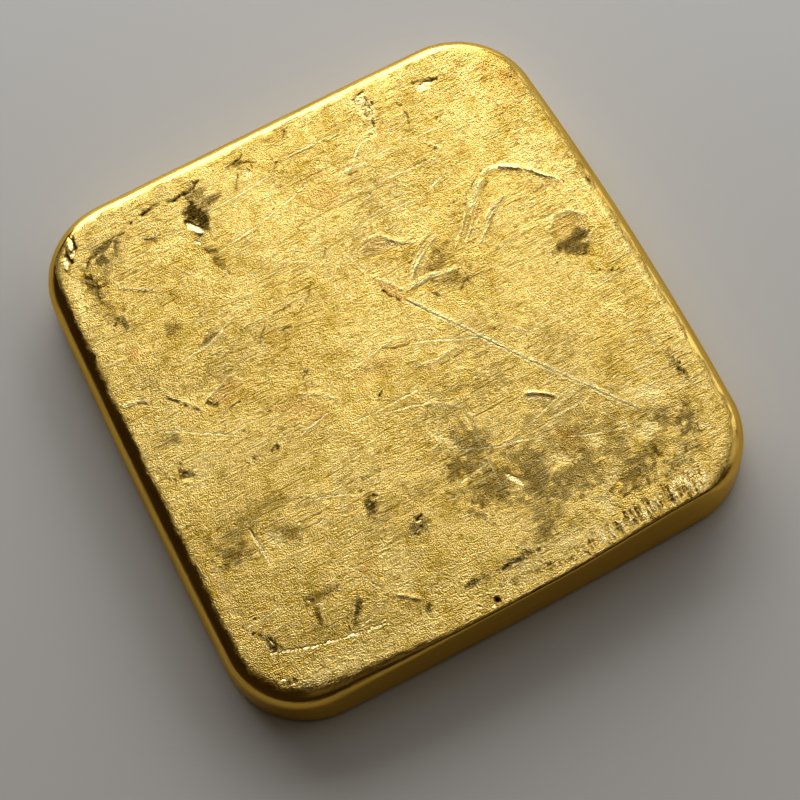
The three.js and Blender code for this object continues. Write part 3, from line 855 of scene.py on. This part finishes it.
# Broken places: oval, relief, grain size, painted highlight on the crumbs, painted shade between them.
BROKEN = [
    (8.8, 20.6, 1, 2.3, -4, 0.07, 0.34, 0.8, 0.6), (-20.1, 13, 0.8, 0.9, 0, 0.06, 0.28, 0.6, 0.7),
    (-3.4, 20.9, 1.4, 0.7, -20, 0.05, 0.24, 0.7, 0.4), (-8.8, 21.4, 1.3, 0.7, 30, 0.06, 0.26, 0.5, 0.8),
    (-18.3, 18.9, 2.2, 1.6, 0, 0.03, 0.35, 0.3, 0.5), (-20.2, 16.8, 0.9, 1.9, 0, 0.03, 0.3, 0.3, 0.5),
    (-5.2, -15.8, 0.8, 1.1, -30, 0.06, 0.24, 0.7, 0.8),
    (0.8, -21.9, 2.4, 0.45, 3, 0.06, 0.26, 0.8, 0.8), (0.8, -23.2, 2.8, 0.8, 3, 0.05, 0.24, 0.8, 0.3),
    (4.9, -23.6, 2.4, 0.7, 0, 0.06, 0.24, 0.9, 0.5),
    (8.2, -23.4, 3.4, 0.9, 1, 0.1, (0.16, 0.9, 0.3), 1, 0.5),
    (12.2, -23.2, 3.2, 1.1, 0, 0.11, (0.16, 0.9, 0.3), 1, 0.55),
    (15.9, -22.9, 2.6, 1.1, 4, 0.12, (0.18, 0.8, 0.3), 1, 0.6),
    (13.4, -19.3, 1.6, 0.9, 0, 0.03, 0.22, 0.5, 0.5),
    (16.4, -20.8, 2.2, 0.9, 10, 0.05, (0.25, 0.45, 0.3), 0.6, 0.7),
    (19.5, -19.4, 1.2, 1.8, 20, 0.03, (0.3, 0.4, 0.3), 0.4, 0.6),
    (-19.6, -22.2, 2, 0.45, -42, 0.08, 0.3, 1, 0.6), (-16.6, -23.8, 1.6, 0.35, -15, 0.07, 0.28, 1, 0.6),
    (-14.8, -3.9, 1.2, 0.8, 0, 0.03, 0.25, 0.4, 0.5), (21.2, -13.8, 0.5, 1.5, 0, 0.05, 0.26, 0.5, 0.8),
    (-20.8, -2, 1.2, 1.2, -30, 0.04, 0.3, 0.3, 0.6), (-7.6, -12.3, 0.8, 1.1, 0, 0.03, 0.22, 0.5, 0.6),
    (-13.2, -19.4, 1.6, 0.9, 40, 0.03, 0.25, 0.6, 0.6),
    (-20.2, -18, 0.6, 1.2, 15, 0.05, 0.22, 0.7, 0.8), (8, -16.5, 3.2, 2.2, 0, 0.03, 0.4, 0.5, 0.4),
]

# The rims of the shallow dents and of the pits.
SHALLOW_RIM, PIT_RIM = 0.01, 0.015

# Every lap is this much higher than its table says. A crest is steepness, taper and wear of a fold.
LAP_RELIEF = 1.45
LAP_CREST = (0.65, 0.1, 0.5)

# A smudge's edge is softer the more ragged it is.
SMUDGE_EDGE, SMUDGE_EDGE_BY_RAGGED = 0.2, 0.6
WARM_RAGGED, WARM_EDGE, WARM_TARNISH = 0.7, 0.6, 0.05

# The long scratch is two burrs side by side: shift, width, height, shine painted as a highlight,
# painted shadow below.
LONG_SCRATCH = [(3.4, 3.2), (6.4, -1.2), (9, -5.2), (12.2, -9.6), (14.6, -13), (16.6, -15.7)]
SCRATCH_BURRS = ((0, 0.13, 0.08, 1, 0.3), (0.17, 0.1, 0.04, 1, 0))
SCRATCH_CREST = (0.9, 0.03, 0.3)

# The row of beads near the front left corner.
BEADED_LINE = np.array([
    (-20.4, -19.2), (-18.5, -19.8), (-17, -20.3), (-14.5, -20.8), (-12, -21.2), (-10.5, -21.5),
])
BEAD_SPACING = 0.34
BEAD_SIZE, BEAD_SIZE_SWING = 0.13, 0.035
BEAD_ASPECT = 1.3
BEAD_SHIFT = 0.05
BEAD_TURN = 10
BEAD_SLOPES = (0.02, 0.22)
# How fast the beads' size, shift and turn swing along the row.
SIZE_RATE, SHIFT_RATE, TURN_RATE = 5.1, 2.3, 3.7
# The painted shadow below each bead, a shallow dark groove: half its length, how far below, width,
# depth, darkness, gaps.
BEAD_SHADOW_HALF, BEAD_SHADOW_DROP = 0.1, 0.2
BEAD_SHADOW = (0.05, 0.01, 0.4, 0.1)

# Random marks: how many, where, and the lowest and highest of each of their measures.
HAIRLINES = 220
HAIRLINE_X, HAIRLINE_Y = (-21, 21), (-22, 21)
# This share of the hairlines lies nearly along X, by a mean and a spread in radians.
HAIRLINE_ALONG = 0.5
HAIRLINE_ANGLE = (0.06, 0.22)
HAIRLINE_HALF = (0.4, 2.6)
HAIRLINE_BEND = (-0.15, 0.15)
HAIRLINE_WIDTH = 0.08
HAIRLINE_HEIGHT = (0.009, 0.02)
# Each hairline's crest is painted pale as a highlight, with a painted shadow line beside it.
HAIRLINE_SHINE = (0.1, 0.6)
HAIRLINE_SHADOW, HAIRLINE_CREST = 0.1, (0.8, 0.3)

COMB_WIDTH = 0.08
COMB_HEIGHT = (0.015, 0.035)
# Each combed line's crest is painted pale as a highlight, with a painted shadow line beside it.
COMB_SHINE = (0.4, 1)
COMB_SHADOW = (0, 0.4)
COMB_CREST = (0.7, 0.3)

SPECKS = 260
SPECK_X, SPECK_Y = (-21.5, 21.5), (-22.5, 22)
SPECK_SIZE = (0.05, 0.13)
SPECK_ASPECT = (1, 2.2)
SPECK_ANGLE = (-40, 40)
# This share of the specks are dark dots of this depth and rim. The rest are shiny crumbs, painted pale
# as glints.
SPECK_DARK_SHARE = 0.6
SPECK_DEPTH, SPECK_RIM = 0.02, 0.004
SPECK_DARKNESS = (0.3, 0.8)
SPECK_SLOPE = (0.05, 0.2)
SPECK_SHINE = 0.5

# The seed of every random mark.
SEED = 7

# The skin's slow waves, wrinkles and grain: height, then the noise.
SKIN = (
    (0.045, 7, 101, 2),
    (0.015, (1.5, 1.1, 1.3), 111, 2),
    (0.01, (0.62, 0.42, 0.5), 121, 3),
)
# Sharper creases where a warped noise crosses zero, in some areas only.
CREASE_HEIGHT = 0.02
CREASE_NOISE = ((1.9, 1.2, 1.5), 144)
CREASE_EDGE = (0.8, 1)
CREASE_WARP = 0.7
CREASE_WARP_CELL, CREASE_WARP_SEEDS = 2.2, (141, 142, 143)
CREASE_AREA_NOISE = (4, 145)
CREASE_AREA_EDGE = (-0.2, 0.3)
# An area of the front right brushed along X: its fading edges, and its relief.
BRUSHED_LEFT, BRUSHED_FRONT, BRUSHED_BACK = (3, 7), (-12, -9), (2, -1)
BRUSHED_HEIGHT = 0.006
BRUSHED_NOISE = ((2.5, 0.26, 1), 131)


def beads(face):
    """A row of small beads of metal, each painted pale as a glint, with a painted shadow line below it.
    """
    lengths = np.concatenate([[0], np.cumsum(np.hypot(*np.diff(BEADED_LINE, axis=0).T))])
    for index, distance in enumerate(np.arange(0, lengths[-1], BEAD_SPACING)):
        x, y = (np.interp(distance, lengths, BEADED_LINE[:, axis]) for axis in (0, 1))
        size = BEAD_SIZE + BEAD_SIZE_SWING * math.sin(SIZE_RATE * index)
        y += BEAD_SHIFT * math.sin(SHIFT_RATE * index)
        turn = BEAD_TURN * math.sin(TURN_RATE * index)
        face.facet((x, y, size * BEAD_ASPECT, size, turn), BEAD_SLOPES)
        below = y - BEAD_SHADOW_DROP
        face.crack((x - BEAD_SHADOW_HALF, below, x + BEAD_SHADOW_HALF, below), *BEAD_SHADOW)


def hairlines(face, rng):
    """Fine scratches from handling, half of them nearly along X."""
    for _ in range(HAIRLINES):
        x, y = rng.uniform(*HAIRLINE_X), rng.uniform(*HAIRLINE_Y)
        if rng.random() < HAIRLINE_ALONG:
            angle = rng.normal(*HAIRLINE_ANGLE)
        else:
            angle = rng.uniform(0, math.pi)
        half = rng.uniform(*HAIRLINE_HALF)
        bend = rng.uniform(*HAIRLINE_BEND)
        dx, dy = half * math.cos(angle), half * math.sin(angle)
        path = (x - dx, y - dy, x - bend * dy, y + bend * dx, x + dx, y + dy)
        height, shine = rng.uniform(*HAIRLINE_HEIGHT), rng.uniform(*HAIRLINE_SHINE)
        face.fold(path, HAIRLINE_WIDTH, height, shine, HAIRLINE_SHADOW, *HAIRLINE_CREST)


def combed(face, rng, path, count, spread):
    """Thin parallel burrs that follow a path, each along its own part of it."""
    path = rounded(path)
    across = (path[-1] - path[0])[::-1] * (-1, 1)
    across /= np.hypot(*across)
    for _ in range(count):
        first = rng.integers(0, len(path) // 2)
        last = rng.integers(len(path) // 2 + 1, len(path) + 1)
        part = path[first:last] + across * rng.uniform(-spread, spread)
        height, shine = rng.uniform(*COMB_HEIGHT), rng.uniform(*COMB_SHINE)
        face.fold(part, COMB_WIDTH, height, shine, rng.uniform(*COMB_SHADOW), *COMB_CREST)


def specks(face, rng):
    """Small dark dots, and shiny crumbs painted pale as glints, scattered over the face."""
    for _ in range(SPECKS):
        x, y = rng.uniform(*SPECK_X), rng.uniform(*SPECK_Y)
        size = rng.uniform(*SPECK_SIZE)
        length = size * rng.uniform(*SPECK_ASPECT)
        dark = rng.random() < SPECK_DARK_SHARE
        oval = (x, y, length, size, rng.uniform(*SPECK_ANGLE))
        if dark:
            face.dent(oval, SPECK_DEPTH, SPECK_RIM, rng.uniform(*SPECK_DARKNESS))
        else:
            face.facet(oval, (0, rng.uniform(*SPECK_SLOPE)), SPECK_SHINE)


def mould_face(points):
    """The marks on every vertex of the upper side, and the height of the skin under them."""
    face = Face(points)
    rng = np.random.default_rng(SEED)
    hairlines(face, rng)
    specks(face, rng)
    for *oval, depth in SHALLOW:
        face.dent(oval, depth, SHALLOW_RIM)
    for *oval, relief, grain, shine, darkness in BROKEN:
        face.crumble(oval, relief, grain, shine, darkness)
    for *oval, amount, ragged in SMUDGES:
        face.stain(oval, ragged, SMUDGE_EDGE + SMUDGE_EDGE_BY_RAGGED * ragged, amount)
    for *oval, amount in WARM:
        face.stain(oval, WARM_RAGGED, WARM_EDGE, WARM_TARNISH, amount)
    for *oval, depth, darkness in PITS:
        face.dent(oval, depth, PIT_RIM, darkness)
    for path in BURRS:
        face.fold(path)
    for *oval, amount in PALE:
        face.pale(oval, amount)
    for path, count, spread in COMBED:
        combed(face, rng, path, count, spread)
    for path, width, height, shine, shadow in LAPS:
        height *= LAP_RELIEF
        face.fold(path, width, height, shine, shadow, *LAP_CREST)
    for shift, *section in SCRATCH_BURRS:
        path = np.array(LONG_SCRATCH) - shift
        face.fold(path, *section, *SCRATCH_CREST)
    for path, width, darkness, gaps in CRACKS:
        face.crack(path, width, CRACK_DEPTH_SHARE * width, darkness, gaps)
    for *oval, slope_x, slope_y in FACETS:
        face.facet(oval, (slope_x, slope_y))
    beads(face)

    skin = sum(height * layered(points, *settings) for height, *settings in SKIN)
    warp = np.stack([noise(points, CREASE_WARP_CELL, seed) for seed in CREASE_WARP_SEEDS], 1)
    crest = 1 - np.abs(noise(points + CREASE_WARP * warp, *CREASE_NOISE))
    area = smooth(*CREASE_AREA_EDGE, noise(points, *CREASE_AREA_NOISE))
    skin += CREASE_HEIGHT * smooth(*CREASE_EDGE, crest) * area
    brushed = smooth(*BRUSHED_LEFT, face.x) * smooth(*BRUSHED_FRONT, face.y)
    brushed *= smooth(*BRUSHED_BACK, face.y)
    skin += brushed * BRUSHED_HEIGHT * noise(points, *BRUSHED_NOISE)
    return face, skin


# ------------------------------------------------------------------ the whole mesh

# The marks may touch vertices of the upper half whose normals rise at least this much.
UPPER_RISE = 0.2
# Where the back and the left edges begin and end, in millimetres from the middle.
BACK_EDGE, LEFT_EDGE = (21.5, 23.2), (22.2, 22.9)
# The rough skin's edge: where it starts and is full, by how much the normal rises, and its
# raggedness. On the shoulder in general, on the left edge and on the back edge.
SKIN_EDGE = np.array((0.86, 0.97, 0.05))
SKIN_EDGE_LEFT = np.array((0.935, 0.995, 0.02))
SKIN_EDGE_BACK = np.array((0.97, 1, 0.012))
SKIN_EDGE_NOISE = (1.2, 201, 3)
# Beyond the skin the marks keep this share of their height, which counts up to a limit.
SMOOTH_SHARE, SMOOTH_LIMIT = 0.25, 0.02

# The walls' slow unevenness, by how little their normals rise. The noise stays within its range of
# zero, so that a wall never stands proud of the form.
WALL_ENDS = (0.8, 1)
WALL_SUNK = 0.02
WALL_NOISE, WALL_NOISE_RANGE = ((6, 6, 4), 211, 3), 1.9

# The pour face underneath: what counts as it, its hollow, its ripples and its slow waves.
UNDER_RISE = -0.99
HOLLOW_EDGE = (0.45, 0.95)
HOLLOW_DEPTH = 0.22
RIPPLE_DEPTH, RIPPLE_RATE = 0.035, 34
RIPPLE_BEND, RIPPLE_NOISE = 1.5, (6, 221)
UNDER_WAVE, UNDER_NOISE = 0.05, (3, 231, 3)
UNDER_ROUGH = 0.8
# Painted shade: how much of the deeper gold is painted on what faces down, and where the walls' deeper
# gold fades on the shoulder.
SIDE_SHADE_UNDER = 0.4
SIDE_SHADE_EDGE = (0.5, 0.95)


def shaped_bar():
    """The bar with its marks: vertices, faces and the paint of each vertex."""
    vertices, normals, quads, triangles = bar_form()
    up = normals[:, 2]
    upper = np.nonzero((up > UPPER_RISE) & (vertices[:, 2] > THICKNESS / 2))[0]
    points = vertices[upper]
    face, skin = mould_face(points)

    # Rough skin covers the flat and ends raggedly on the shoulder, sooner at the left and the back.
    back = smooth(*BACK_EDGE, points[:, 1])[:, None]
    left = smooth(*LEFT_EDGE, -points[:, 0])[:, None]
    starts, full, ragged = blend(blend(SKIN_EDGE, SKIN_EDGE_LEFT, left), SKIN_EDGE_BACK, back).T
    rough = smooth(starts, full, up[upper] + ragged * layered(points, *SKIN_EDGE_NOISE))
    beyond = SMOOTH_SHARE * np.minimum(face.height, SMOOTH_LIMIT)
    shift = np.zeros(len(vertices))
    shift[upper] = rough * (skin + face.height) + (1 - rough) * beyond

    # The smooth walls and shoulder have only a slow unevenness.
    wall = 1 - smooth(*WALL_ENDS, np.abs(up))
    shift -= wall * WALL_SUNK * (1 + layered(vertices, *WALL_NOISE) / WALL_NOISE_RANGE)

    # The pour face: sunk in the middle, with slow shrinkage ripples.
    below = up < UNDER_RISE
    across, along = vertices[:, 0] / (WIDTH / 2), vertices[:, 1] / (LENGTH / 2)
    sunk = 1 - smooth(*HOLLOW_EDGE, np.maximum(np.abs(across), np.abs(along)))
    turns = np.hypot(across, along) * RIPPLE_RATE + RIPPLE_BEND * noise(vertices, *RIPPLE_NOISE)
    depth = HOLLOW_DEPTH + RIPPLE_DEPTH * (1 + np.sin(turns)) / 2
    depth += UNDER_WAVE * layered(vertices, *UNDER_NOISE)
    shift[below] -= (sunk * depth)[below]

    vertices = vertices + normals * shift[:, None]
    vertices[:, 2] = np.clip(vertices[:, 2], 0, THICKNESS)

    paint = np.zeros((len(vertices), 4), np.float32)
    # Red is tarnish and painted shade, green is rough skin, blue is warmth, and alpha is polish and
    # painted highlight.
    paint[upper, 0] = np.clip(face.tarnish_and_shade, 0, 1) * rough
    paint[upper, 1] = rough
    paint[upper, 2] = np.clip(face.warm, 0, 1) * rough
    paint[upper, 3] = np.clip(face.polish_and_highlight, 0, 1) * rough
    paint[below, 1] = UNDER_ROUGH
    # Painted shade: the walls, and less the underside, get a deeper gold by which way they face.
    side_shade = np.where(up < 0, SIDE_SHADE_UNDER, 1 - smooth(*SIDE_SHADE_EDGE, up)).astype(np.float32)
    return vertices, quads, triangles, paint, side_shade


def make_mesh(name):
    vertices, quads, triangles, paint, side_shade = shaped_bar()
    mesh = bpy.data.meshes.new(name)
    corners = np.concatenate([quads.ravel(), triangles.ravel()]).astype(np.int32)
    starts = np.concatenate([
        np.arange(len(quads)) * 4,
        4 * len(quads) + np.arange(len(triangles)) * 3,
    ]).astype(np.int32)
    mesh.vertices.add(len(vertices))
    mesh.vertices.foreach_set("co", (vertices * MM).astype(np.float32).ravel())
    mesh.loops.add(len(corners))
    mesh.loops.foreach_set("vertex_index", corners)
    mesh.polygons.add(len(starts))
    mesh.polygons.foreach_set("loop_start", starts)
    mesh.update(calc_edges=True)
    mesh.validate()
    layer = mesh.color_attributes.new("marks", "FLOAT_COLOR", "POINT")
    layer.data.foreach_set("color", paint.ravel())
    layer = mesh.attributes.new("side_shade", "FLOAT", "POINT")
    layer.data.foreach_set("value", side_shade)
    mesh.shade_smooth()
    return mesh


# ------------------------------------------------------------------ gold


class Nodes:
    """Short ways to add shader nodes to one material."""

    def __init__(self, material):
        material.use_nodes = True
        self.tree = material.node_tree
        self.shader = self.tree.nodes["Principled BSDF"]

    def put(self, value, socket):
        if isinstance(value, bpy.types.NodeSocket):
            self.tree.links.new(value, socket)
        else:
            socket.default_value = value

    def add(self, kind, **settings):
        node = self.tree.nodes.new("ShaderNode" + kind)
        for key, value in settings.items():
            setattr(node, key, value)
        return node

    def math(self, operation, a, b, clamp=False):
        node = self.add("Math", operation=operation, use_clamp=clamp)
        self.put(a, node.inputs[0])
        self.put(b, node.inputs[1])
        return node.outputs[0]

    def times(self, a, b):
        return self.math("MULTIPLY", a, b)

    def most(self, *values):
        """The largest of the values."""
        largest = values[0]
        for value in values[1:]:
            largest = self.math("MAXIMUM", largest, value)
        return largest

    def total(self, start, *terms):
        """start plus each value times its weight."""
        for value, weight in terms:
            start = self.math("ADD", start, self.times(value, weight))
        return start

    def mix(self, share, a, b):
        node = self.add("Mix", data_type="RGBA")
        self.put(share, node.inputs[0])
        self.put(a, node.inputs[MIX_A])
        self.put(b, node.inputs[MIX_B])
        return node.outputs[MIX_RESULT]

    def mix_numbers(self, share, a, b):
        node = self.add("Mix", data_type="FLOAT")
        self.put(share, node.inputs[0])
        self.put(a, node.inputs[NUMBER_A])
        self.put(b, node.inputs[NUMBER_B])
        return node.outputs[0]

    def span(self, value, low, high, weight=1):
        """Rises smoothly from 0 where value is low to the weight where it is high."""
        node = self.add("MapRange", interpolation_type="SMOOTHSTEP")
        for socket, number in zip(node.inputs, (value, low, high, 0, weight)):
            self.put(number, socket)
        return node.outputs[0]

    def scaled(self, place, scale, turn=0):
        """The place vector scaled along the bar's axes. A turn then moves it to other noise."""
        node = self.add("Mapping", vector_type="POINT")
        self.put(place, node.inputs["Vector"])
        node.inputs["Rotation"].default_value = (0, 0, math.radians(turn))
        node.inputs["Scale"].default_value = scale
        return node.outputs[0]

    def noise(self, place, scale, detail=2, roughness=0.5):
        node = self.add("TexNoise")
        self.put(place, node.inputs["Vector"])
        node.inputs["Scale"].default_value = scale
        node.inputs["Detail"].default_value = detail
        node.inputs["Roughness"].default_value = roughness
        return node.outputs[0]


# The pale gold is worn gold and also the colour of painted highlights; the deeper gold is painted shade
# on the walls and underside; the dark tarnish colour is also that of painted shade.
GOLD = (0.91, 0.68, 0.235, 1)
GOLD_PALE = (1.0, 0.88, 0.51, 1)
GOLD_GRAIN_AND_SHADE = (0.5, 0.3, 0.03, 1)
GOLD_OLIVE = (0.44, 0.29, 0.01, 1)
GOLD_WARM = (0.84, 0.51, 0.2, 1)
GOLD_SIDE_SHADE = (0.86, 0.6, 0.15, 1)
TARNISH_AND_SHADE = (0.06, 0.036, 0.0015, 1)
GRAZING_TINT = (1.0, 0.87, 0.55, 1)

# Noises: scale in features to a millimetre, detail and roughness.
GRAIN = (4.6, 3, 0.7)
FINE = (9.5, 1, 0.5)
SMALL = (1.7, 4, 0.68)
PATCH = (0.5, 4, 0.62)
CLOUD = (0.13, 2, 0.5)

# Fine lines along X on the face, in sets: the turn in degrees that gives each set noise of its own,
# and the scale of the patches that it fills.
LINE_SETS = ((-3, 0.13), (14, 0.21), (39, 0.17), (-52, 0.16), (84, 0.2))
LINE_SCALE, LINE_NOISE = (0.35, 5.5, 1), (1, 3, 0.65)
LINE_AREA = (0.45, 0.6)
LINE_RAISED, LINE_CUT = (0.58, 0.74), (0.42, 0.28)

# Faint lines that run round the walls and the shoulder.
DRAG_SCALE, DRAG_NOISE = (0.22, 0.22, 5), (1, 4, 0.65)
DRAG_DARK, DRAG_DARKNESS = (0.55, 0.36), 0.3

# How each noise shows in the colour: nothing at the first number, and the third, or 1, at the
# second. A single number is a weight, a limit or, where it is called even, the same everywhere.
PALE_SMALL, PALE_FINE = (0.5, 0.68, 0.5), (0.52, 0.66, 0.75)
WARM_SMALL, WARM_EVEN = (0.35, 0.6), 0.2
OLIVE_SMALL, OLIVE_PATCH = (0.52, 0.33, 0.42), (0.52, 0.36, 0.24)
OLIVE_CLOUD = (0.55, 0.4, 0.2)
# The cut lines' share of olive and of dark grain is painted shade in the grooves.
CUT_SHADE_OLIVE, OLIVE_MOST = 0.3, 0.9
PIT_GRAIN, PIT_FINE = (0.42, 0.28), (0.46, 0.3, 0.8)
CUT_SHADE_DARK, PIT_SHARE = 0.6, 0.9
TARNISH_AND_SHADE_GRAIN, TARNISH_AND_SHADE_EVEN = 1.2, 0.45

# Roughness: of the face, what adds to it and takes from it, and of the walls.
FACE_ROUGHNESS = 0.18
SMALL_ROUGHENS, GRAIN_ROUGHENS, TARNISH_AND_SHADE_ROUGHENS, POLISH_SMOOTHS = 0.14, 0.14, 0.22, -0.1
WALL_ROUGHNESS, DRAG_ROUGHENS = 0.1, 0.16

# Relief finer than the mesh: its height in metres, and the share of it that each noise has.
RELIEF_HEIGHT = 0.07 * MM
RELIEF_GRAIN, RELIEF_SMALL, RELIEF_FINE, RELIEF_LINES = 0.9, 0.6, 1.4, 0.8
# The share that the walls get, what polish takes away, and the walls' own lines.
RELIEF_WALL, RELIEF_POLISH, RELIEF_DRAG = 0.05, -0.5, 0.2


def fine_lines(n, place):
    """Fine raised and cut lines along X, each set in its own patches. Besides their bumps, the raised
    lines are painted pale as highlights and the cut lines darker as shade.
    """
    raised, cut = [], []
    for turn, patch_scale in LINE_SETS:
        lines = n.noise(n.scaled(place, LINE_SCALE, turn), *LINE_NOISE)
        area = n.span(n.noise(n.scaled(place, (1, 1, 1), turn), patch_scale), *LINE_AREA)
        raised.append(n.times(n.span(lines, *LINE_RAISED), area))
        cut.append(n.times(n.span(lines, *LINE_CUT), area))
    return n.most(*raised), n.most(*cut)


def gold_material():
    material = bpy.data.materials.new("cast_gold")
    n = Nodes(material)
    n.shader.inputs["Metallic"].default_value = 1
    n.shader.inputs["Specular Tint"].default_value = GRAZING_TINT

    # Object space in millimetres.
    place = n.scaled(n.add("TexCoord").outputs["Object"], (1 / MM, 1 / MM, 1 / MM))
    marks = n.add("Attribute", attribute_name="marks")
    parts = n.add("SeparateColor")
    n.put(marks.outputs["Color"], parts.inputs[0])
    tarnish_and_shade, rough, warm = parts.outputs
    polish_and_highlight = marks.outputs["Alpha"]
    side_shade = n.add("Attribute", attribute_name="side_shade").outputs["Fac"]
    sides = n.math("SUBTRACT", 1, rough)
    drag = n.noise(n.scaled(place, DRAG_SCALE), *DRAG_NOISE)
    raised, cut = fine_lines(n, place)
    grain, fine, small, patch, cloud = (
        n.noise(place, *settings) for settings in (GRAIN, FINE, SMALL, PATCH, CLOUD)
    )

    # Pale where handling has polished the metal and in random patches, and pale as painted highlights
    # on raised lines, fold crests, facets and crumbs.
    pale = n.most(n.span(small, *PALE_SMALL), raised, n.span(fine, *PALE_FINE), polish_and_highlight)
    # The walls and underside are painted a deeper gold as painted shade.
    colour = n.mix(n.times(pale, rough), n.mix(side_shade, GOLD, GOLD_SIDE_SHADE), GOLD_PALE)
    spots = n.math("ADD", n.span(small, *WARM_SMALL), WARM_EVEN)
    colour = n.mix(n.math("MULTIPLY", warm, spots, clamp=True), colour, GOLD_WARM)
    # Olive and dark in random patches, and along the cut lines as painted shade.
    olive = n.math("ADD", n.span(small, *OLIVE_SMALL), n.span(patch, *OLIVE_PATCH))
    olive = n.total(n.math("ADD", olive, n.span(cloud, *OLIVE_CLOUD)), (cut, CUT_SHADE_OLIVE))
    olive = n.times(n.math("MINIMUM", olive, OLIVE_MOST), n.math("SUBTRACT", rough, polish_and_highlight))
    colour = n.mix(olive, colour, GOLD_OLIVE)
    # Dark grains, and the cut lines painted darker as shade in the grooves.
    pits_and_groove_shade = n.most(n.span(grain, *PIT_GRAIN), n.span(fine, *PIT_FINE), n.times(cut, CUT_SHADE_DARK))
    colour = n.mix(n.times(pits_and_groove_shade, n.times(rough, PIT_SHARE)), colour, GOLD_GRAIN_AND_SHADE)
    streaks = n.times(n.span(drag, *DRAG_DARK), n.times(sides, DRAG_DARKNESS))
    colour = n.mix(streaks, colour, GOLD_GRAIN_AND_SHADE)
    # Tarnish, smudges, dark pits and cracks, and the painted shadows beside folds, between crumbs and
    # below beads, all take the dark colour.
    uneven = n.total(TARNISH_AND_SHADE_EVEN, (grain, TARNISH_AND_SHADE_GRAIN))
    colour = n.mix(n.math("MULTIPLY", tarnish_and_shade, uneven, clamp=True), colour, TARNISH_AND_SHADE)
    n.put(colour, n.shader.inputs["Base Color"])

    face_roughness = n.total(
        FACE_ROUGHNESS,
        (small, SMALL_ROUGHENS), (grain, GRAIN_ROUGHENS),
        (tarnish_and_shade, TARNISH_AND_SHADE_ROUGHENS), (polish_and_highlight, POLISH_SMOOTHS),
    )
    wall_roughness = n.total(WALL_ROUGHNESS, (drag, DRAG_ROUGHENS))
    n.put(n.mix_numbers(rough, wall_roughness, face_roughness), n.shader.inputs["Roughness"])

    relief = n.total(
        n.times(grain, RELIEF_GRAIN),
        (small, RELIEF_SMALL), (fine, RELIEF_FINE), (raised, RELIEF_LINES), (cut, -RELIEF_LINES),
    )
    relief = n.times(relief, n.total(RELIEF_WALL, (rough, 1 - RELIEF_WALL)))
    relief = n.times(relief, n.total(1, (polish_and_highlight, RELIEF_POLISH)))
    relief = n.total(relief, (drag, n.times(sides, RELIEF_DRAG)))
    bump = n.add("Bump")
    bump.inputs["Strength"].default_value = 1
    bump.inputs["Distance"].default_value = RELIEF_HEIGHT
    n.put(relief, bump.inputs["Height"])
    n.put(bump.outputs[0], n.shader.inputs["Normal"])
    return material


bar = bpy.data.objects.new("gold_bar", make_mesh("gold_bar"))
bpy.context.scene.collection.objects.link(bar)
bar.data.materials.append(gold_material())
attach(bar, "root")
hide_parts(NODE)
